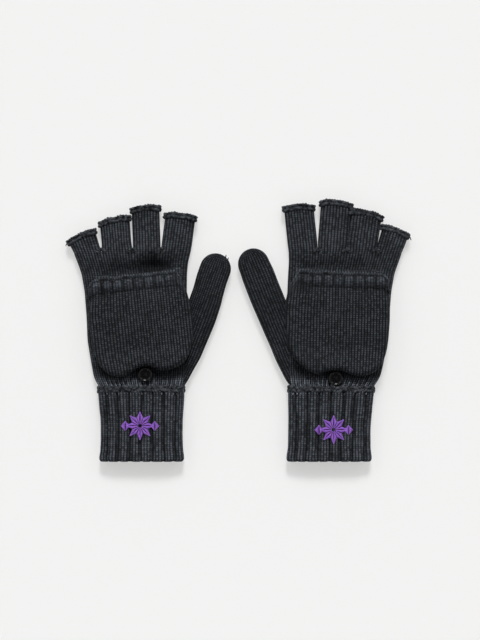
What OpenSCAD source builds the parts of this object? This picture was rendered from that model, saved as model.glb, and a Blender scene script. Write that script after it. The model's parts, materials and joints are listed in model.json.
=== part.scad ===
// Convertible flip-top mittens: a pair of knitted half-finger gloves, each with a mitten flap
// that is folded back over the hand and held by a cord loop round a button.
// The pair lies flat with the backs of the hands up. Millimetres: X runs across the pair,
// Y from the cuffs to the fingertips, Z up from the table that the pair lies on.
// The origin is on the table, under the middle of the pair.

/* [Hand] */
// Thickness of the hand, palm to back, as it lies
hand_thick = 12; // [11.5:0.1:12.2]
// Thickness of the knitted wall of the hand
hand_wall = 1.8; // [1.4:0.1:2]
// Thickness of a finger or thumb tube as it lies
finger_thick = 10; // [9.4:0.1:10.6]
// Thickness of the knitted wall of a finger or thumb
finger_wall = 1.6; // [1.2:0.1:1.8]
// How long the cast-off edge round each finger mouth is
edge_length = 4.4; // [3.5:0.1:5.5]
// How far a cast-off edge stands out from its tube
edge_proud = 0.8; // [0.4:0.1:1.2]

/* [Cuff] */
// Height of the turned-up cuff as it lies
cuff_thick = 16; // [15.5:0.1:17]
// Thickness of one ribbed layer of the cuff
cuff_wall = 1.9; // [1.6:0.1:2.1]
// Air between the inner cuff and its turn-up
cuff_gap = 0.9; // [0.8:0.1:1.2]
// Length of the turn-up from its fold to its cast-off edge
cuff_length = 63; // [58:1:66]

/* [Flap] */
// Width of the mitten flap
flap_width = 90; // [84:1:92]
// Thickness of the knitted wall of the flap
flap_wall = 1.6; // [1.3:0.1:1.8]
// Air between the two layers of the flap
flap_gap = 5.6; // [5:0.1:6.2]
// Length of the ribbed welt at the mouth of the flap
welt_length = 12; // [9:0.5:15]
// Number of rounded ribs across the welt
welt_ribs = 9; // [6:1:12]
// How far the ribs stand up
rib_height = 1.1; // [0.6:0.1:1.4]
// Clearance between the flap and the hand under it
flap_clear = 0.5; // [0.4:0.1:0.7]

/* [Button and loop] */
// Diameter of the button
button_d = 13; // [11:0.5:14]
// Thickness of the button at its rim
button_thick = 3; // [2.4:0.1:3.2]
// Height of the thread shank under the button
shank_height = 2.2; // [2:0.1:2.5]
// Diameter of the elastic cord of the loop
cord_d = 1.5; // [1.2:0.1:1.6]

/* [Motif] */
// Height of the embroidered star
star_size = 25; // [20:1:27]
// Width of the whole motif, with the diamond at each side of the star
motif_width = 34; // [32:1:38]
// Thickness of the satin stitch
stitch_thick = 0.9; // [0.6:0.1:1.2]

/* [Hidden] */

left = 0;
right = 1;
// +1 puts a mitten on the +X side of the pair, -1 on the other
across = [-1, 1];

hand_sides = 28;
tube_sides = 20;
square_hand = 4; // squareness of the hand's and cuff's cross-section, 2 is an ellipse
square_tube = 3;
join = 0.4; // how far knitted tubes run into each other where they are knitted on

knit_black = [0.16, 0.17, 0.19];
rib_black = [0.2, 0.21, 0.23];
gloss_black = [0.05, 0.05, 0.06];
thread_purple = [0.42, 0.28, 0.72];

hand_end_y = 69; // where the fingers are knitted on
wrist_y = -53; // where the hand meets the inner cuff
cuff_bottom_y = wrist_y - cuff_length;
cuff_mid_z = cuff_thick / 2;
inner_half = cuff_thick / 2 - cuff_wall - cuff_gap;

// Outline of each hand, wrist to knuckles: [y, thumb side, little finger side], measured
// outwards from the middle of the pair
hand_outline = [
    [[-53, 50, 121], [-49, 47, 124], [-41, 42.7, 128], [-30, 37.4, 130], [-20, 31.2, 131.7],
     [-9, 27.4, 133.5], [0, 24.2, 133.8], [6, 23.2, 134], [13, 34, 134.4], [24, 45, 135.2],
     [50, 45.2, 138.8], [60, 44.3, 142.4], [69, 42, 146]],
    [[-53, 47, 118], [-49, 44.5, 121.5], [-41, 40.9, 126.4], [-30, 35.4, 129], [-20, 30.3, 130.8],
     [-9, 26.6, 131.7], [2, 21.4, 133.6], [10, 18.2, 134.2], [18, 31, 134.8], [28, 43.6, 135.6],
     [50, 44.5, 138.8], [60, 45.2, 142.4], [69, 45, 145.6]]
];
// Fingers: [root x, root half width, length, lean in degrees outwards, tube half width], all
// from the index finger to the little finger, measured outwards from the middle of the pair
fingers = [
    [[55.25, 13.25, 35, -7.5, 13.4], [80.75, 12.3, 42, 2, 12.3],
     [107, 14, 31.5, 5, 13.2], [133.5, 12.5, 18, 20.5, 12.4]],
    [[58.1, 13.1, 42.8, -6, 13.2], [83.8, 12.6, 46.2, 4, 12.9],
     [109.2, 12.8, 37.5, 9, 12.9], [133.6, 12, 22.7, 18, 12]]
];
index = 0;
middle = 1;
ring_finger = 2;
little = 3;
// Thumbs: [x and y of the middle of the rounded end, lean in degrees towards the middle]
thumbs = [[20, 54.3, 20.5], [13.8, 58.7, 22]];
thumb_half = 13.8;
thumb_length = 46; // from the middle of the round end to where it is knitted on
// Cuffs: [middle x, half width] at the fold, half way up and at the cast-off edge
cuffs = [
    [[85.4, 36.8], [85.2, 36], [85.8, 38.6]],
    [[80.6, 37], [81.2, 36.2], [82.6, 38.4]]
];
// Flaps: [x and y of the middle of the hinge line, turn in degrees, length past the hinge line]
flaps = [[-88.7, 52.3, 6, 91], [89.1, 54.5, -1.5, 93.4]];
mouth_gap = 4; // from the hinge line to the mouth of the pocket
// How deep the flap is drawn up over its button
notches = [8.8, 5];
notch_half = 9;
buttons = [[-81.9, -39.2], [86.3, -42.7]];
// Middle of each motif, on the turn-up
motifs = [[-86.5, -84.5], [84.5, -88]];

flap_bottom = hand_thick + flap_clear;
flap_mid = flap_bottom + flap_wall + flap_gap / 2;
flap_top = flap_mid + flap_wall + flap_gap / 2;
// Half way up between the hand and the top of the ribs, so the turned flap clears the hand
hinge_z = (hand_thick + flap_clear + flap_top + rib_height) / 2;
button_bottom = hand_thick + shank_height;
cord_z = button_bottom - cord_d / 2 - 0.15;

// ---- shapes shared by several pieces ----

function signed_power(x, p) = sign(x) * pow(abs(x), p);

// A closed ring round a flattened tube: its middle, half width, half height and turn
function ring(mid, w, h, turn, square, sides) = [
    for (i = [0 : sides - 1])
        let (t = 360 * (i + 0.5) / sides,
             x = w * signed_power(cos(t), 2 / square),
             z = h * signed_power(sin(t), 2 / square))
        [mid[0] + x * cos(turn), mid[1] + x * sin(turn), mid[2] + z]
];

// Triangles of the wall between rings, where first is the number of the first point
function wall_faces(rings, n, first, outwards) = [
    for (k = [0 : rings - 2], i = [0 : n - 1])
        let (a = first + k * n + i, b = first + k * n + (i + 1) % n, c = b + n, d = a + n)
        each (outwards ? [[a, b, c], [a, c, d]] : [[a, c, b], [a, d, c]])
];

// Triangles of the ring-shaped rim between two rings of n points
function rim_faces(n, a0, b0, outwards) = [
    for (i = [0 : n - 1])
        let (j = (i + 1) % n, a = a0 + i, b = a0 + j, c = b0 + j, d = b0 + i)
        each (outwards ? [[a, b, c], [a, c, d]] : [[a, c, b], [a, d, c]])
];

// Triangles that close a ring, joining each point to the one over it
function cap_faces(n, first, outwards) = [
    for (i = [0 : n / 2 - 2])
        let (a = first + i, b = first + i + 1, c = first + n - 2 - i, d = first + n - 1 - i)
        each (outwards ? [[a, b, c], [a, c, d]] : [[a, c, b], [a, d, c]])
];

// A knitted tube with a wall, open at its first ring, and open or closed at its last
module sleeve(outer, inner, closed = false) {
    n = len(outer[0]);
    last_outer = (len(outer) - 1) * n;
    first_inner = len(outer) * n;
    last_inner = first_inner + (len(inner) - 1) * n;
    polyhedron(
        points = concat([for (r = outer) each r], [for (r = inner) each r]),
        faces = concat(
            wall_faces(len(outer), n, 0, true),
            wall_faces(len(inner), n, first_inner, false),
            rim_faces(n, 0, first_inner, false),
            closed
                ? concat(cap_faces(n, last_outer, true), cap_faces(n, last_inner, false))
                : rim_faces(n, last_outer, last_inner, true)));
}

// A solid skinned over rings, closed at both ends
module skinned(rings) {
    n = len(rings[0]);
    polyhedron(
        points = [for (r = rings) each r],
        faces = concat(
            wall_faces(len(rings), n, 0, true),
            cap_faces(n, 0, false),
            cap_faces(n, (len(rings) - 1) * n, true)));
}

// ---- cuff ----

// Middle x and half width of cuff s at a height y, straight between its three measures
function cuff_at(s, y) =
    let (half = cuff_length / 2, d = (y - cuff_bottom_y) / half, k = d < 1 ? 0 : 1,
         f = d - k, a = cuffs[s][k], b = cuffs[s][k + 1])
    [across[s] * (a[0] + (b[0] - a[0]) * f), a[1] + (b[1] - a[1]) * f];

// A cuff ring at height y, drawn in by w and h from the turn-up's outer face
function cuff_ring(s, y, w, h) =
    let (c = cuff_at(s, y))
    ring([c[0], y, cuff_mid_z], c[1] - w, cuff_mid_z - h, 0, square_hand, hand_sides);

inner_inset = cuff_wall + cuff_gap;

module cuff_inner(s) {
    heights = [cuff_bottom_y + 3.4, cuff_bottom_y + cuff_length / 2, wrist_y];
    color(rib_black)
        sleeve([for (y = heights) cuff_ring(s, y, inner_inset, inner_inset)],
               [for (y = heights) cuff_ring(s, y, inner_inset + cuff_wall, inner_inset + cuff_wall)]);
}

module cuff_turnup(s) {
    y0 = cuff_bottom_y;
    half_way = y0 + cuff_length / 2;
    throat = inner_inset + cuff_wall;
    color(rib_black)
        sleeve([cuff_ring(s, y0, 2.6, 2.6), cuff_ring(s, y0 + 1, 0.8, 0.8),
                cuff_ring(s, y0 + 3, 0, 0), cuff_ring(s, half_way, 0, 0), cuff_ring(s, wrist_y, 0, 0)],
               [cuff_ring(s, y0, throat, throat), cuff_ring(s, y0 + 3.2, throat, throat),
                cuff_ring(s, y0 + 3.4, cuff_wall, cuff_wall), cuff_ring(s, half_way, cuff_wall, cuff_wall),
                cuff_ring(s, wrist_y, cuff_wall, cuff_wall)]);
}

module cuff_edge(s) {
    y0 = wrist_y - join;
    lift = 0.4; // what the thicker edge needs to stay above the table
    c = cuff_at(s, wrist_y);
    color(rib_black)
        translate([0, 0, lift])
            sleeve([for (k = [[0, 0], [0.8, lift], [2.6, lift], [3.4, 0]])
                        ring([c[0], y0 + k[0], cuff_mid_z], c[1] + k[1], cuff_mid_z + k[1], 0,
                             square_hand, hand_sides)],
                   [for (d = [0, 3.4])
                        ring([c[0], y0 + d, cuff_mid_z], c[1] - cuff_wall, cuff_mid_z - cuff_wall, 0,
                             square_hand, hand_sides)]);
}

// ---- hand, fingers and thumb ----

// Underside and top of the hand at a height y: the wrist rises into the raised cuff
function lift_at(y) = inner_inset * pow(max(0, min(1, (-26 - y) / 27)), 1.5);
function back_at(y) = hand_thick + (cuff_mid_z + inner_half - hand_thick) * pow(max(0, min(1, (-41 - y) / 12)), 1.5);
function hand_top(y) = y > 50 ? hand_thick - (hand_thick - finger_thick - 0.6) * (y - 50) / 19 : back_at(y);

function hand_ring(s, k, wall) =
    let (o = hand_outline[s][k], y = o[0], low = lift_at(y), high = hand_top(y))
    ring([across[s] * (o[1] + o[2]) / 2, y, (low + high) / 2],
         (o[2] - o[1]) / 2 - wall, (high - low) / 2 - wall, 0, square_hand, hand_sides);

module hand_shell(s) {
    stations = [0 : len(hand_outline[s]) - 1];
    color(knit_black)
        difference() {
            sleeve([for (k = stations) hand_ring(s, k, 0)],
                   [for (k = stations) hand_ring(s, k, hand_wall)]);
            thumb_passage(s);
        }
}

// The way from the hand into the thumb, cut through the side of the hand
module thumb_passage(s) {
    half = thumb_half - finger_wall - 1.5;
    high = finger_thick - 2 * finger_wall - 0.6;
    t = thumbs[s];
    translate([across[s] * t[0], t[1], (finger_thick - high) / 2])
        rotate([0, 0, across[s] * t[2]])
            translate([-half, -thumb_length - 6, 0])
                cube([2 * half, 34, high]);
}

// Rings of a finger tube from how far up it each one is: [distance, how much narrower]
function finger_rings(s, f, steps, wall) =
    let (g = fingers[s][f], lean = g[3] * across[s], x0 = across[s] * g[0])
    [for (k = steps)
        let (d = k[0], root = d <= 0, grow = min(1, max(0, d) / 8),
             w = g[1] + (g[4] - g[1]) * grow, top = hand_top(hand_end_y) * (1 - grow) + finger_thick * grow)
        ring([x0 + d * sin(lean), hand_end_y + d * (root ? 1 : cos(lean)), top / 2],
             w + k[1] - wall, top / 2 + k[2] - wall, root ? 0 : -lean, square_tube, tube_sides)];

module finger_tube(s, f) {
    end = fingers[s][f][2] - edge_length;
    steps = [[-join, 0, 0], [8, 0, 0], [end, 0, 0]];
    color(knit_black)
        sleeve(finger_rings(s, f, steps, 0), finger_rings(s, f, steps, finger_wall));
}

module finger_edge(s, f) {
    end = fingers[s][f][2];
    start = end - edge_length - join;
    rise = edge_proud * 0.6;
    color(rib_black)
        translate([0, 0, rise])
            sleeve(finger_rings(s, f, [[start, 0, 0], [start + 1, edge_proud, rise],
                                       [end - 1, edge_proud, rise], [end, 0, 0]], 0),
                   finger_rings(s, f, [[start, 0, 0], [end, 0, 0]], finger_wall));
}

// Rings of the thumb, base to tip: [distance from the middle of the round end, width, height]
function thumb_rings(s, steps, wall) =
    let (t = thumbs[s], lean = -across[s] * t[2])
    [for (k = steps)
        ring([across[s] * t[0] + k[0] * sin(lean), t[1] + k[0] * cos(lean), finger_thick / 2],
             k[1] * thumb_half - wall, k[2] * finger_thick / 2 - wall, -lean, square_tube, tube_sides)];

module thumb_tube(s) {
    color(knit_black)
        sleeve(thumb_rings(s, [[-thumb_length, 1.03, 1], [-20, 1.02, 1], [0, 1, 1], [6, 0.9, 0.96],
                               [10.4, 0.66, 0.86], [13, 0.36, 0.66]], 0),
               thumb_rings(s, [[-thumb_length, 1.03, 1], [-20, 1.02, 1], [0, 1, 1], [5.4, 0.9, 0.96],
                               [9.4, 0.66, 0.86], [11.4, 0.4, 0.72]], finger_wall), closed = true);
}

// The end of the yarn, drawn up and knotted at the tip of the thumb
module thumb_knot(s) {
    t = thumbs[s];
    lean = -across[s] * t[2];
    reach = thumb_half - 0.3;
    color(knit_black)
        translate([across[s] * t[0] + reach * sin(lean), t[1] + reach * cos(lean), finger_thick / 2])
            sphere(r = 1.4, $fn = 24);
}

// ---- flap ----

// Flap s's own frame: X along the hinge line, Y from the hinge line to the tip of the flap
module on_flap(s) {
    f = flaps[s];
    translate([f[0], f[1], 0])
        rotate([0, 0, 180 + f[2]])
            children();
}

// A point given in the pair's frame, in flap s's frame
function in_flap(s, p) =
    let (f = flaps[s], dx = p[0] - f[0], dy = p[1] - f[1], a = f[2])
    [-dx * cos(a) - dy * sin(a), dx * sin(a) - dy * cos(a)];

flap_columns = 15;
squareness = 4.2; // of the flap's rounded end

// Length of flap s at x across it, from its mouth to its rounded end
function flap_reach(s, x, half, length) =
    let (b = in_flap(s, buttons[s])[0])
    length * pow(1 - pow(min(1, abs(x / half)), squareness), 1 / squareness)
        - notches[s] * exp(-pow((x - b) / notch_half, 2));

// Half the air between the layers, thinning to the side and end seams
function air_at(x, depth, half) =
    0.25 + (flap_gap / 2 - 0.25) * sqrt(max(0, 1 - pow(abs(x / half), 6))) * sqrt(max(0, 1 - pow(depth, 6)));

// Columns across the flap, closer at its sides, with the middle one at the button
function flap_x(s, i, half) =
    let (x = half * 0.996 * sin(90 * (2 * i / (flap_columns - 1) - 1)))
    x + in_flap(s, buttons[s])[0] * (1 - abs(x / half));

// One ring round the flap at a depth from 0, the mouth, to 1, the end seam
function flap_ring(s, depth, half, length, extra) =
    let (row = [for (i = [0 : flap_columns - 1]) flap_x(s, i, half)])
    concat(
        [for (x = row)
            [x, mouth_gap + depth * flap_reach(s, x, half, length), flap_mid - air_at(x, depth, half) - extra]],
        [for (i = [flap_columns - 1 : -1 : 0])
            let (x = row[i])
            [x, mouth_gap + depth * flap_reach(s, x, half, length), flap_mid + air_at(x, depth, half) + extra]]);

module flap_pocket(s) {
    depths = [0, 0.2, 0.5, 0.75, 0.9, 0.97, 1];
    length = flaps[s][3] - mouth_gap;
    half = flap_width / 2;
    color(knit_black)
        on_flap(s)
            sleeve([for (d = depths) flap_ring(s, d, half, length, flap_wall)],
                   [for (d = depths) flap_ring(s, d, half - flap_wall, length - flap_wall, 0)],
                   closed = true);
}

// The ribbed band along the mouth of the flap, on its upper layer
module flap_welt(s) {
    half = flap_width / 2 * 0.93;
    steps = welt_ribs * 6;
    xs = [for (i = [0 : steps]) half * (2 * i / steps - 1)];
    function layer_top(x) = flap_mid + flap_wall + air_at(x, 0, flap_width / 2);
    color(rib_black)
        on_flap(s)
            translate([0, mouth_gap + welt_length, 0])
                rotate([90, 0, 0])
                    linear_extrude(welt_length)
                        polygon(concat(
                            [for (x = xs) [x, layer_top(x) - 0.15]],
                            [for (i = [steps : -1 : 0])
                                [xs[i], layer_top(xs[i]) + rib_height * (0.35 + 0.65 * abs(sin(180 * i / 6)))]]));
}

// The fold of knitting along the knuckles that joins the flap to the hand
module flap_seam(s) {
    half = flap_width / 2 - 8;
    ridge = 0.9;
    color(knit_black)
        on_flap(s) {
            translate([-half, -2.4, hand_thick + ridge - 0.25])
                rotate([0, 90, 0])
                    cylinder(r = ridge, h = 2 * half, $fn = 24);
            translate([-half, -2.4, hand_thick - 0.15])
                cube([2 * half, 2.4 + mouth_gap - 0.4, 0.8]);
        }
}

// ---- button, loop ----

module at_button(s) {
    translate([buttons[s][0], buttons[s][1], button_bottom])
        children();
}

hole_r = 0.9;
hole_at = 1.9;
dish_depth = 1.1;

module button(s) {
    r = button_d / 2;
    color(gloss_black)
        at_button(s)
            difference() {
                union() {
                    cylinder(r = r - 0.8, h = 0.8, $fn = 64);
                    translate([0, 0, 0.8])
                        cylinder(r = r, h = button_thick - 1.6, $fn = 64);
                    translate([0, 0, button_thick - 0.8])
                        cylinder(r = r - 0.7, h = 0.8, $fn = 64);
                }
                translate([0, 0, button_thick - dish_depth])
                    cylinder(r = r - 2, h = dish_depth + 1, $fn = 64);
                for (a = [45 : 90 : 315])
                    rotate([0, 0, a])
                        translate([hole_at * sqrt(2) * 0.9, 0, -1])
                            cylinder(r = hole_r, h = button_thick + 2, $fn = 24);
            }
}

// Sewing thread up through the four holes and across in two bars
module button_thread(s) {
    top = button_thick - dish_depth;
    r = 0.5;
    reach = hole_at * sqrt(2) * 0.9;
    color(gloss_black)
        at_button(s)
            for (a = [45, 135])
                rotate([0, 0, a])
                    union() {
                        translate([-reach, 0, top + (a - 45) / 90 * 0.02 + r * 0.9])
                            rotate([0, 90, 0])
                                cylinder(r = r, h = 2 * reach, $fn = 16);
                        for (x = [-reach, reach])
                            translate([x, 0, 0.1])
                                cylinder(r = r, h = top + r * 1.2, $fn = 16);
                    }
}

// The wrapped thread that the button stands on
module button_shank(s) {
    color(gloss_black)
        at_button(s)
            translate([0, 0, -shank_height - 0.3])
                cylinder(r = 1.4, h = shank_height + 0.25, $fn = 32);
}

// Elastic cord from the end seam of the flap, round the shank and back
module cord_loop(s) {
    b = in_flap(s, buttons[s]);
    start_y = mouth_gap + flap_reach(s, b[0], flap_width / 2, flaps[s][3] - mouth_gap) + cord_d / 2 + 0.75;
    bend = 1.4 + cord_d / 2 + 0.3; // from the shank's middle to the cord's
    route = concat(
        [[b[0] - 1.3, start_y, flap_mid - 1.9], [b[0] - 1.9, start_y + 0.7, cord_z]],
        [for (a = [180 : -30 : 0]) [b[0] + bend * cos(a), b[1] + bend * sin(a), cord_z]],
        [[b[0] + 1.9, start_y + 0.7, cord_z], [b[0] + 1.3, start_y, flap_mid - 1.9]]);
    last = len(route) - 1;
    function unit(v) = v / norm(v);
    color(gloss_black)
        on_flap(s)
            skinned([for (i = [0 : last])
                let (t = unit(route[min(last, i + 1)] - route[max(0, i - 1)]),
                     side = unit(cross(t, [0, 0, 1])), up = cross(side, t))
                [for (k = [0 : 7])
                    route[i] + cord_d / 2 * (side * cos(45 * k + 22.5) + up * sin(45 * k + 22.5))]]);
}

// The tack of thread that holds both ends of the cord to the end seam
module loop_tack(s) {
    b = in_flap(s, buttons[s]);
    end_y = mouth_gap + flap_reach(s, b[0], flap_width / 2, flaps[s][3] - mouth_gap);
    color(gloss_black)
        on_flap(s)
            translate([b[0] - 2.6, end_y - 2, flap_mid - flap_wall - 0.6])
                cube([5.2, 2.2, 2 * flap_wall + 1.2]);
}

// ---- embroidery ----

petal_width = 5.2;
diamond = 4;

// A star of eight satin-stitched petals between two small diamonds
module motif(s) {
    r = star_size / 2;
    side_x = motif_width / 2 - diamond;
    color(thread_purple)
        translate([motifs[s][0], motifs[s][1], cuff_thick - 0.2])
            linear_extrude(stitch_thick)
                union() {
                    for (a = [0 : 45 : 315])
                        rotate(a)
                            polygon([[1.6, 0], [r * 0.58, -petal_width / 2], [r, 0], [r * 0.58, petal_width / 2]]);
                    for (x = [-side_x, side_x])
                        translate([x, 0])
                            polygon([[-diamond, 0], [0, -diamond], [diamond, 0], [0, diamond]]);
                }
}

// Soft backing that the embroidery is stitched through, inside the turn-up
module motif_backing(s) {
    color("dimgray")
        translate([motifs[s][0] - motif_width / 2, motifs[s][1] - star_size / 2, cuff_thick - cuff_wall - 0.5])
            cube([motif_width, star_size, 0.6]);
}

// ---- the pair ----

cuff_inner(left);  // left_cuff_inner
cuff_turnup(left);  // left_cuff_turnup
cuff_edge(left);  // left_cuff_edge
hand_shell(left);  // left_hand_shell
thumb_tube(left);  // left_thumb_tube
thumb_knot(left);  // left_thumb_knot
finger_tube(left, index);  // left_index_tube
finger_tube(left, middle);  // left_middle_tube
finger_tube(left, ring_finger);  // left_ring_tube
finger_tube(left, little);  // left_little_tube
finger_edge(left, index);  // left_index_edge
finger_edge(left, middle);  // left_middle_edge
finger_edge(left, ring_finger);  // left_ring_edge
finger_edge(left, little);  // left_little_edge
flap_pocket(left);  // left_flap_pocket
flap_welt(left);  // left_flap_welt
flap_seam(left);  // left_flap_seam
button(left);  // left_button
button_thread(left);  // left_button_thread
button_shank(left);  // left_button_shank
cord_loop(left);  // left_cord_loop
loop_tack(left);  // left_loop_tack
motif(left);  // left_motif
motif_backing(left);  // left_motif_backing
cuff_inner(right);  // right_cuff_inner
cuff_turnup(right);  // right_cuff_turnup
cuff_edge(right);  // right_cuff_edge
hand_shell(right);  // right_hand_shell
thumb_tube(right);  // right_thumb_tube
thumb_knot(right);  // right_thumb_knot
finger_tube(right, index);  // right_index_tube
finger_tube(right, middle);  // right_middle_tube
finger_tube(right, ring_finger);  // right_ring_tube
finger_tube(right, little);  // right_little_tube
finger_edge(right, index);  // right_index_edge
finger_edge(right, middle);  // right_middle_edge
finger_edge(right, ring_finger);  // right_ring_edge
finger_edge(right, little);  // right_little_edge
flap_pocket(right);  // right_flap_pocket
flap_welt(right);  // right_flap_welt
flap_seam(right);  // right_flap_seam
button(right);  // right_button
button_thread(right);  // right_button_thread
button_shank(right);  // right_button_shank
cord_loop(right);  // right_cord_loop
loop_tack(right);  // right_loop_tack
motif(right);  // right_motif
motif_backing(right);  // right_motif_backing
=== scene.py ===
import itertools
import json
import math
import bmesh
import bpy
import numpy as np
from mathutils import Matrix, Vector, noise


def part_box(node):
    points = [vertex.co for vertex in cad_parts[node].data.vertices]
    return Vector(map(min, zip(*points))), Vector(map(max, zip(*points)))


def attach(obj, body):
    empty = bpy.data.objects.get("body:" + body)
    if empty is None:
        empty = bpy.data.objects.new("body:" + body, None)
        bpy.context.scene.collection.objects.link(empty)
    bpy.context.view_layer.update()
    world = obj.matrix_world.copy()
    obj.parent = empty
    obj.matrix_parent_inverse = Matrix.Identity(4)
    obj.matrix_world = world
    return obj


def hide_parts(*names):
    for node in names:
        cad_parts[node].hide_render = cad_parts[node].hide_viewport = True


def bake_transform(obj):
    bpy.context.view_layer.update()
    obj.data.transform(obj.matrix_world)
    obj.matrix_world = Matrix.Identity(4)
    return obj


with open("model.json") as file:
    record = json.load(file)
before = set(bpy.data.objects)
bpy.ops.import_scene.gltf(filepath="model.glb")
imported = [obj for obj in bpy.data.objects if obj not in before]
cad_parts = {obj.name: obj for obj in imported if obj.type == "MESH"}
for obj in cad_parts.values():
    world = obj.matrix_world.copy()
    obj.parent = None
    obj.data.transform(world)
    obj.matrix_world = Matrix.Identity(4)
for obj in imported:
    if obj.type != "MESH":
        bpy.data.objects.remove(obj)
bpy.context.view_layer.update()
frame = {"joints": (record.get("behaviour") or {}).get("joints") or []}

mm = 0.001  # everything below is worked out in millimetres and scaled once, here
joints = {j["name"]: j for j in frame["joints"]}
acrossPair = {"left": -1, "right": 1}

# Distances are measured outwards from the middle of the pair, so one recipe makes both mittens.
knit = {
    "wale": 2.55,        # width of one column of stitches
    "course": 1.92,      # height of one row of stitches
    "perWale": 5,        # mesh columns in one wale
    "rowStep": 2.0,      # mesh rows along the knitting
    "ridge": 0.55,       # how far a wale stands up
    "gutterPower": 0.7,  # below 1 the gutters between the wales are narrow
}

# edges are (y, outwards) and fingers (root, half width, length, lean in degrees, half width of the tube);
# dips are (outwards, y, half width, half length, depth); cuffs are (middle, half width) from fold to wrist
mittens = {
    "left": {
        "thumbEdge": [(-57, 50.5), (-52, 49.5), (-46, 47), (-36, 46), (24, 45), (34, 45.4),
                      (50, 45.2), (60, 44.3), (69, 42)],
        "littleEdge": [(-57, 120), (-52, 121.5), (-47, 125.5), (-41, 128), (-30, 130),
                       (-20, 131.7), (-9, 133.5), (10, 134.2), (34, 136), (50, 138.8),
                       (60, 142.4), (69, 146)],
        "fingers": {"index": (55.25, 13.25, 35, -7.5, 13.4), "middle": (80.75, 12.3, 42, 2, 12.3),
                    "ring": (107, 14, 31.5, 5, 13.2), "little": (133.5, 12.5, 18, 20.5, 12.4)},
        "mouthTilt": {"index": 1, "middle": 4, "ring": 7, "little": 4},
        "dips": [(74, 56, 13.5, 7.5, 7.2), (100, 54, 18, 5.5, 2.8), (72, 71.5, 12, 4.5, -2.4),
                 (81.9, -44, 9, 7, 2.0), (112, -37, 15, 5.5, 3.0), (60, -35, 13, 6.5, 2.8)],
        "thumb": (20, 54.3, 20.5),
        "thumbOuter": [(14, 13.8), (24, 13.9), (36, 15), (41, 15.8), (58, 16.6), (70, 16.2),
                       (81, 15.7), (93, 15.2), (104, 13.3), (115, 11.9), (128, 9)],
        "thumbInner": [(14, 13.8), (24, 13.7), (36, 12.5), (50, 12.4), (128, 12.4)],
        "cuff": [(85.4, 36.8), (85.2, 36), (85.8, 38.6)],
    },
    "right": {
        "thumbEdge": [(-57, 47), (-52, 47), (-46, 45.5), (-36, 44.5), (24, 43.5), (34, 43.8),
                      (50, 44.5), (60, 45.2), (69, 45)],
        "littleEdge": [(-57, 117.5), (-52, 119), (-47, 122.8), (-41, 126.4), (-30, 129),
                       (-20, 130.8), (-9, 131.7), (2, 133.6), (18, 134.8), (34, 136),
                       (50, 138.8), (60, 142.4), (69, 145.6)],
        "fingers": {"index": (58.1, 13.1, 42.8, -6, 13.2), "middle": (83.8, 12.6, 46.2, 4.6, 13.6),
                    "ring": (109.2, 12.8, 37.5, 8, 13.7), "little": (133.6, 12, 22.7, 18, 12)},
        "mouthTilt": {"index": 3, "middle": 1, "ring": 5, "little": 3},
        "dips": [(94, 69.5, 5, 5, 2.4), (122, 67, 4.5, 5, 2.4), (69, 71, 4, 4, 1.2), (88, 57, 32, 5, 1.8),
                 (86.3, -47.5, 9, 7, 2.4), (114, -39, 14, 5.5, 2.8), (60, -35, 13, 6.5, 2.8)],
        "thumb": (13.8, 58.7, 22),
        "thumbOuter": [(14, 13.8), (24, 14.5), (36, 14.8), (45, 14.9), (60, 14.5), (75, 14.2),
                       (88, 13.7), (100, 13.8), (110, 13), (121, 12), (132, 9)],
        "thumbInner": [(14, 13.8), (24, 14.6), (36, 14.3), (50, 14.4), (132, 14.4)],
        "cuff": [(80.6, 37), (81.2, 36.2), (82.6, 38.4)],
    },
}

fingerOrder = ["index", "middle", "ring", "little"]
knuckleY = 69
wristY = -53
foldY = wristY - 63
weldWithin = 0.02
justAboveTable = 0.02


def nodeBox(node):
    # a CAD node's lowest corner, highest corner and middle
    low, high = (np.array(corner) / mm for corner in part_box(node))
    return low, high, (low + high) / 2


def smoothStep(x):
    x = np.clip(x, 0, 1)
    return x * x * (3 - 2 * x)


def softLine(points, at, reach=3.0):
    # straight runs between the points, with their corners rounded over a few millimetres
    xs, ys = zip(*points)
    steps = np.linspace(-reach, reach, 7)
    return np.mean([np.interp(np.asarray(at, float) + s, xs, ys) for s in steps], axis=0)


def cloudy(x, y, size, seed):
    # gentle lumps, the same ones each run
    out = np.empty(np.shape(x))
    flatX, flatY, flatOut = np.ravel(x), np.ravel(y), out.reshape(-1)
    for i in range(flatOut.size):
        flatOut[i] = noise.noise(Vector((flatX[i] / size, flatY[i] / size, seed)))
    return out


def waleRidge(u):
    return np.abs(np.sin(np.pi * np.asarray(u) / knit["wale"])) ** knit["gutterPower"]


def waleColumns(low, high, marks=()):
    # mesh columns that fall on the same five places of every wale, and on each mark
    step = knit["wale"] / knit["perWale"]
    fixed = [low, high, *marks]
    found = [k * step for k in range(math.ceil(low / step), math.floor(high / step) + 1)]
    kept = [u for u in found if min(abs(u - f) for f in fixed) > 0.3 * step]
    return np.array(sorted(kept + fixed))


def distanceTo(lines, x, y):
    # shortest way from each point to any of the lines
    starts = np.concatenate([line[:-1] for line in lines])
    ends = np.concatenate([line[1:] for line in lines])
    px, py = np.ravel(x)[:, None], np.ravel(y)[:, None]
    best = np.full(px.shape[0], 1e9)
    for a, b in zip(np.array_split(starts, 8), np.array_split(ends, 8)):
        d = b - a
        along = ((px - a[:, 0]) * d[:, 0] + (py - a[:, 1]) * d[:, 1]) / np.maximum((d ** 2).sum(1), 1e-9)
        along = np.clip(along, 0, 1)
        gap = np.hypot(px - a[:, 0] - along * d[:, 0], py - a[:, 1] - along * d[:, 1])
        best = np.minimum(best, gap.min(1))
    return best.reshape(np.shape(x))


def roundEdge(d, radius):
    return np.sqrt(np.maximum(0, 1 - (1 - np.clip(d / radius, 0, 1)) ** 2))


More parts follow.
